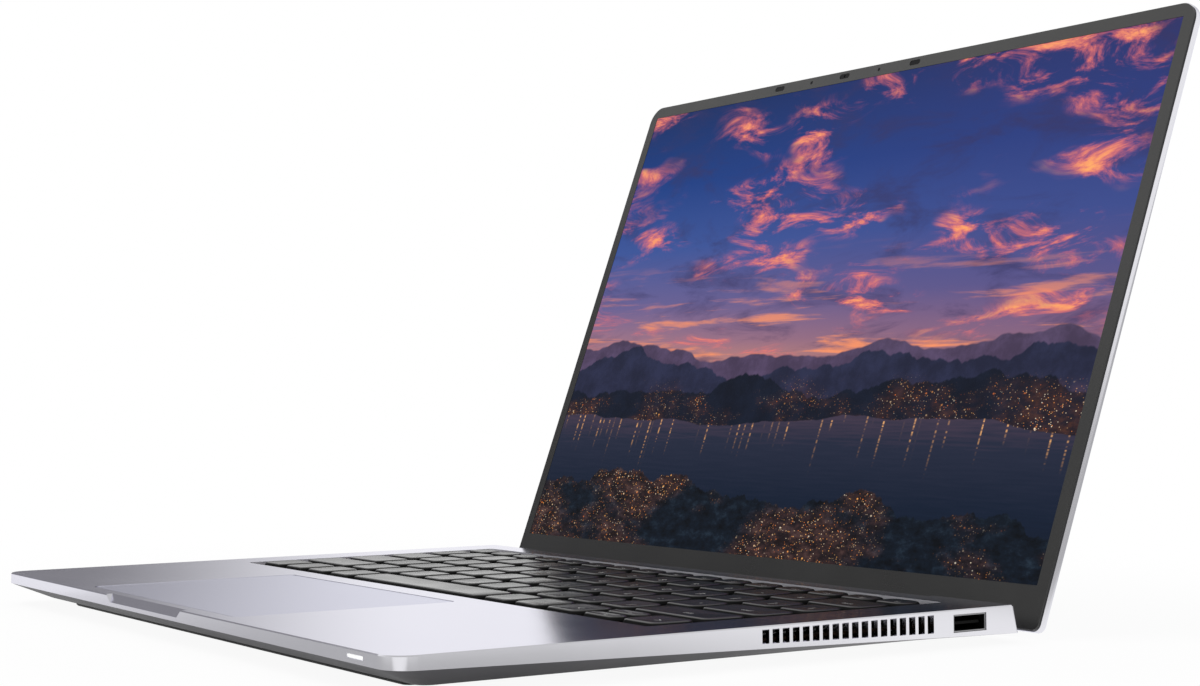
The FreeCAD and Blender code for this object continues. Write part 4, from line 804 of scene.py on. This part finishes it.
def ray_kinds(tree):
    """Whether a ray comes from the camera, and whether it comes from something that mirrors."""
    path = add(tree, "LightPath").outputs
    return path["Is Camera Ray"], larger(tree, path["Is Glossy Ray"], path["Is Transmission Ray"])


def mirrored_table_painted_light(tree, axis, beside, before, away):
    """How bright metal mirrors the table, as painted light: a painted shadow greys it close to the base and
    behind it, it is painted lighter to the left, and a painted highlight lies past the near corner.
    """
    left = rise(tree, axis["X"], *LEFT_FADE, LEFT_MIRRORED_LIGHT, NEAR_MIRRORED_SHADE)
    side = rise(tree, axis["Y"], *SIDE_FADE, NEAR_MIRRORED_SHADE, 1.0)
    # Painted shadow: the mirrored table is greyer close to the base
    painted_shadow = rise(tree, away, *PAINTED_SHADOW_FADE, larger(tree, left, side), 1.0)
    # Painted highlight: a white wedge past the near corner, which the corner's round face mirrors
    painted_corner_highlight = rise(tree, calc(tree, "MINIMUM", beside, before), *CORNER_HIGHLIGHT_FADE)
    # Painted shadow behind the base
    rear = rise(tree, axis["Y"], *REAR_FADE, 1.0, REAR_MIRRORED_SHADE)
    return times(tree, larger(tree, painted_shadow, painted_corner_highlight), rear)


def table_top():
    """A white table, clear from below. Away from the laptop it is as bright as the background, and near it
    takes the shadow."""
    material, tree, out = start_bare("white_table")
    axis = axes(tree)
    middle = (CASE_LOW + CASE_HIGH) / 2
    half = (CASE_HIGH - CASE_LOW) / 2
    beside = larger(tree, minus(tree, calc(tree, "ABSOLUTE", axis["X"]), half.x), 0.0)
    before = calc(tree, "ABSOLUTE", minus(tree, axis["Y"], middle.y))
    before = larger(tree, minus(tree, before, half.y), 0.0)
    away = calc(tree, "SQRT", line(tree, beside, beside, times(tree, before, before)))
    from_camera, mirrored = ray_kinds(tree)
    bright = times(tree, from_camera, rise(tree, away, *SEEN_FADE, NEAR_SEEN, 1.0))
    # Metal sees the table with its painted shadow and highlight; the camera sees it white
    glow = blend(tree, from_camera, mirrored_table_painted_light(tree, axis, beside, before, away), WHITE)
    matt = add(tree, "BsdfDiffuse", Color=TABLE_TONE)
    lit = add(tree, "Emission", Color=glow, Strength=1.0)
    above = mix_shaders(tree, larger(tree, bright, mirrored), matt, lit)
    from_below = add(tree, "NewGeometry").outputs["Backfacing"]
    one_way = mix_shaders(tree, from_below, above, add(tree, "BsdfTransparent"))
    feed(tree, out.inputs["Surface"], one_way.outputs[0])
    mesh = bmesh.new()
    bmesh.ops.create_circle(mesh, cap_ends=True, segments=TABLE_SIDES, radius=TABLE_RADIUS)
    mesh_object("table_top", mesh, material)


def studio():
    """A white room that lights softly all round. Metal mirrors its ceiling and two of its walls dimmer."""
    world = bpy.data.worlds.new("studio")
    bpy.context.scene.world = world
    world.use_nodes = True
    tree = world.node_tree
    tree.nodes.clear()
    from_camera, mirrored = ray_kinds(tree)
    axis = axes(tree, "Generated")
    ceiling = rise(tree, axis["Z"], *CEILING_FADE, 1.0, CEILING_MIRRORED)
    along_view = calc(tree, "ABSOLUTE", minus(tree, axis["X"], axis["Y"]))
    wall = times(tree, rise(tree, along_view, *WALL_FADE), rise(tree, axis["Z"], *WALL_FOOT_FADE))
    wall = line(tree, wall, WALL_MIRRORED - 1.0, 1.0)
    level = rise(tree, mirrored, 0.0, 1.0, ROOM_LIGHT, times(tree, ceiling, wall))
    background = add(tree, "Background", Color=WHITE, Strength=larger(tree, level, from_camera))
    add(tree, "OutputWorld", Surface=background.outputs[0])


# Lamp and cards

# The cards stand to the left, as outlines of places along Y and heights. Each turns white towards its rear.
CARD_PLACE = -2.4
CARD_FRONT = -2.4
CARD_SEAM = 0.5
LOW_CARD_REAR = 1.25
LOW_CARD = [(CARD_FRONT, 0.0), (LOW_CARD_REAR, 0.0), (LOW_CARD_REAR, CARD_SEAM), (CARD_FRONT, CARD_SEAM)]
LOW_CARD_TONE = (0.21, 0.207, 0.218)
LOW_CARD_FADE = (0.60, 1.20)
HIGH_CARD_REAR = 0.3
HIGH_CARD = [(CARD_FRONT, CARD_SEAM), (HIGH_CARD_REAR, CARD_SEAM), (HIGH_CARD_REAR, 1.45), (-0.52, 1.45),
             (-0.58, 1.2), (-0.75, 1.2), (CARD_FRONT, 2.2)]
HIGH_CARD_TONE = (0.262, 0.26, 0.274)
HIGH_CARD_FADE = (0.1, 0.3)


def softbox(name, place, target, size, power):
    """A large soft lamp, which metal doesn't mirror."""
    lamp = bpy.data.lights.new(name, "AREA")
    lamp.shape = "RECTANGLE"
    lamp.size, lamp.size_y = size
    lamp.energy = power
    holder = new_object(name, lamp)
    holder.location = place
    holder.rotation_euler = (Vector(target) - Vector(place)).to_track_quat("-Z", "Y").to_euler()
    holder.visible_glossy = False


def grey_card(name, corners, tone, fade):
    """A card at the side of the set. It shows only in what mirrors it."""
    material, tree, out = start_bare(name)
    soft = rise(tree, axes(tree)["Y"], *fade)
    glow = add(tree, "Emission", Color=blend(tree, soft, tone, WHITE), Strength=1.0)
    feed(tree, out.inputs["Surface"], glow.outputs[0])
    mesh = bmesh.new()
    mesh.faces.new([mesh.verts.new((CARD_PLACE, y, z)) for y, z in corners])
    card = mesh_object(name, mesh, material)
    card.visible_camera = False
    card.visible_diffuse = False
    card.visible_shadow = False


# Camera, at the photograph's viewpoint

CAMERA_PLACE = Vector((0.6348, -0.38604, 0.0775))
CAMERA_YAW = math.radians(57.757)
CAMERA_PITCH = math.radians(1.0688)
CAMERA_ROLL = math.radians(-0.5911)
CAMERA_LENS = 65.45
CAMERA_SENSOR = 36
CAMERA_NEAREST = 0.01


def camera():
    """The scene's camera, turned by its yaw, pitch and roll."""
    ahead = Vector((-math.sin(CAMERA_YAW) * math.cos(CAMERA_PITCH),
                    math.cos(CAMERA_YAW) * math.cos(CAMERA_PITCH), math.sin(CAMERA_PITCH)))
    right = Vector((math.cos(CAMERA_YAW), math.sin(CAMERA_YAW), 0))
    up = right.cross(ahead)
    turned_right = right * math.cos(CAMERA_ROLL) + up * math.sin(CAMERA_ROLL)
    turned_up = up * math.cos(CAMERA_ROLL) - right * math.sin(CAMERA_ROLL)
    lens = bpy.data.cameras.new("camera")
    lens.lens = CAMERA_LENS
    lens.sensor_width = CAMERA_SENSOR
    lens.clip_start = CAMERA_NEAREST
    holder = new_object("camera", lens)
    turn = Matrix((turned_right, turned_up, -ahead)).transposed()
    holder.matrix_world = Matrix.Translation(CAMERA_PLACE) @ turn.to_4x4()
    bpy.context.scene.camera = holder


table_top()
studio()
softbox("key_softbox", place=(-0.5, -0.7, 1.5), target=(0, 0, 0.1), size=(1.4, 1.0), power=14.0)
grey_card("low_card", LOW_CARD, LOW_CARD_TONE, LOW_CARD_FADE)
grey_card("high_card", HIGH_CARD, HIGH_CARD_TONE, HIGH_CARD_FADE)
camera()
bpy.context.scene.view_settings.view_transform = "Standard"
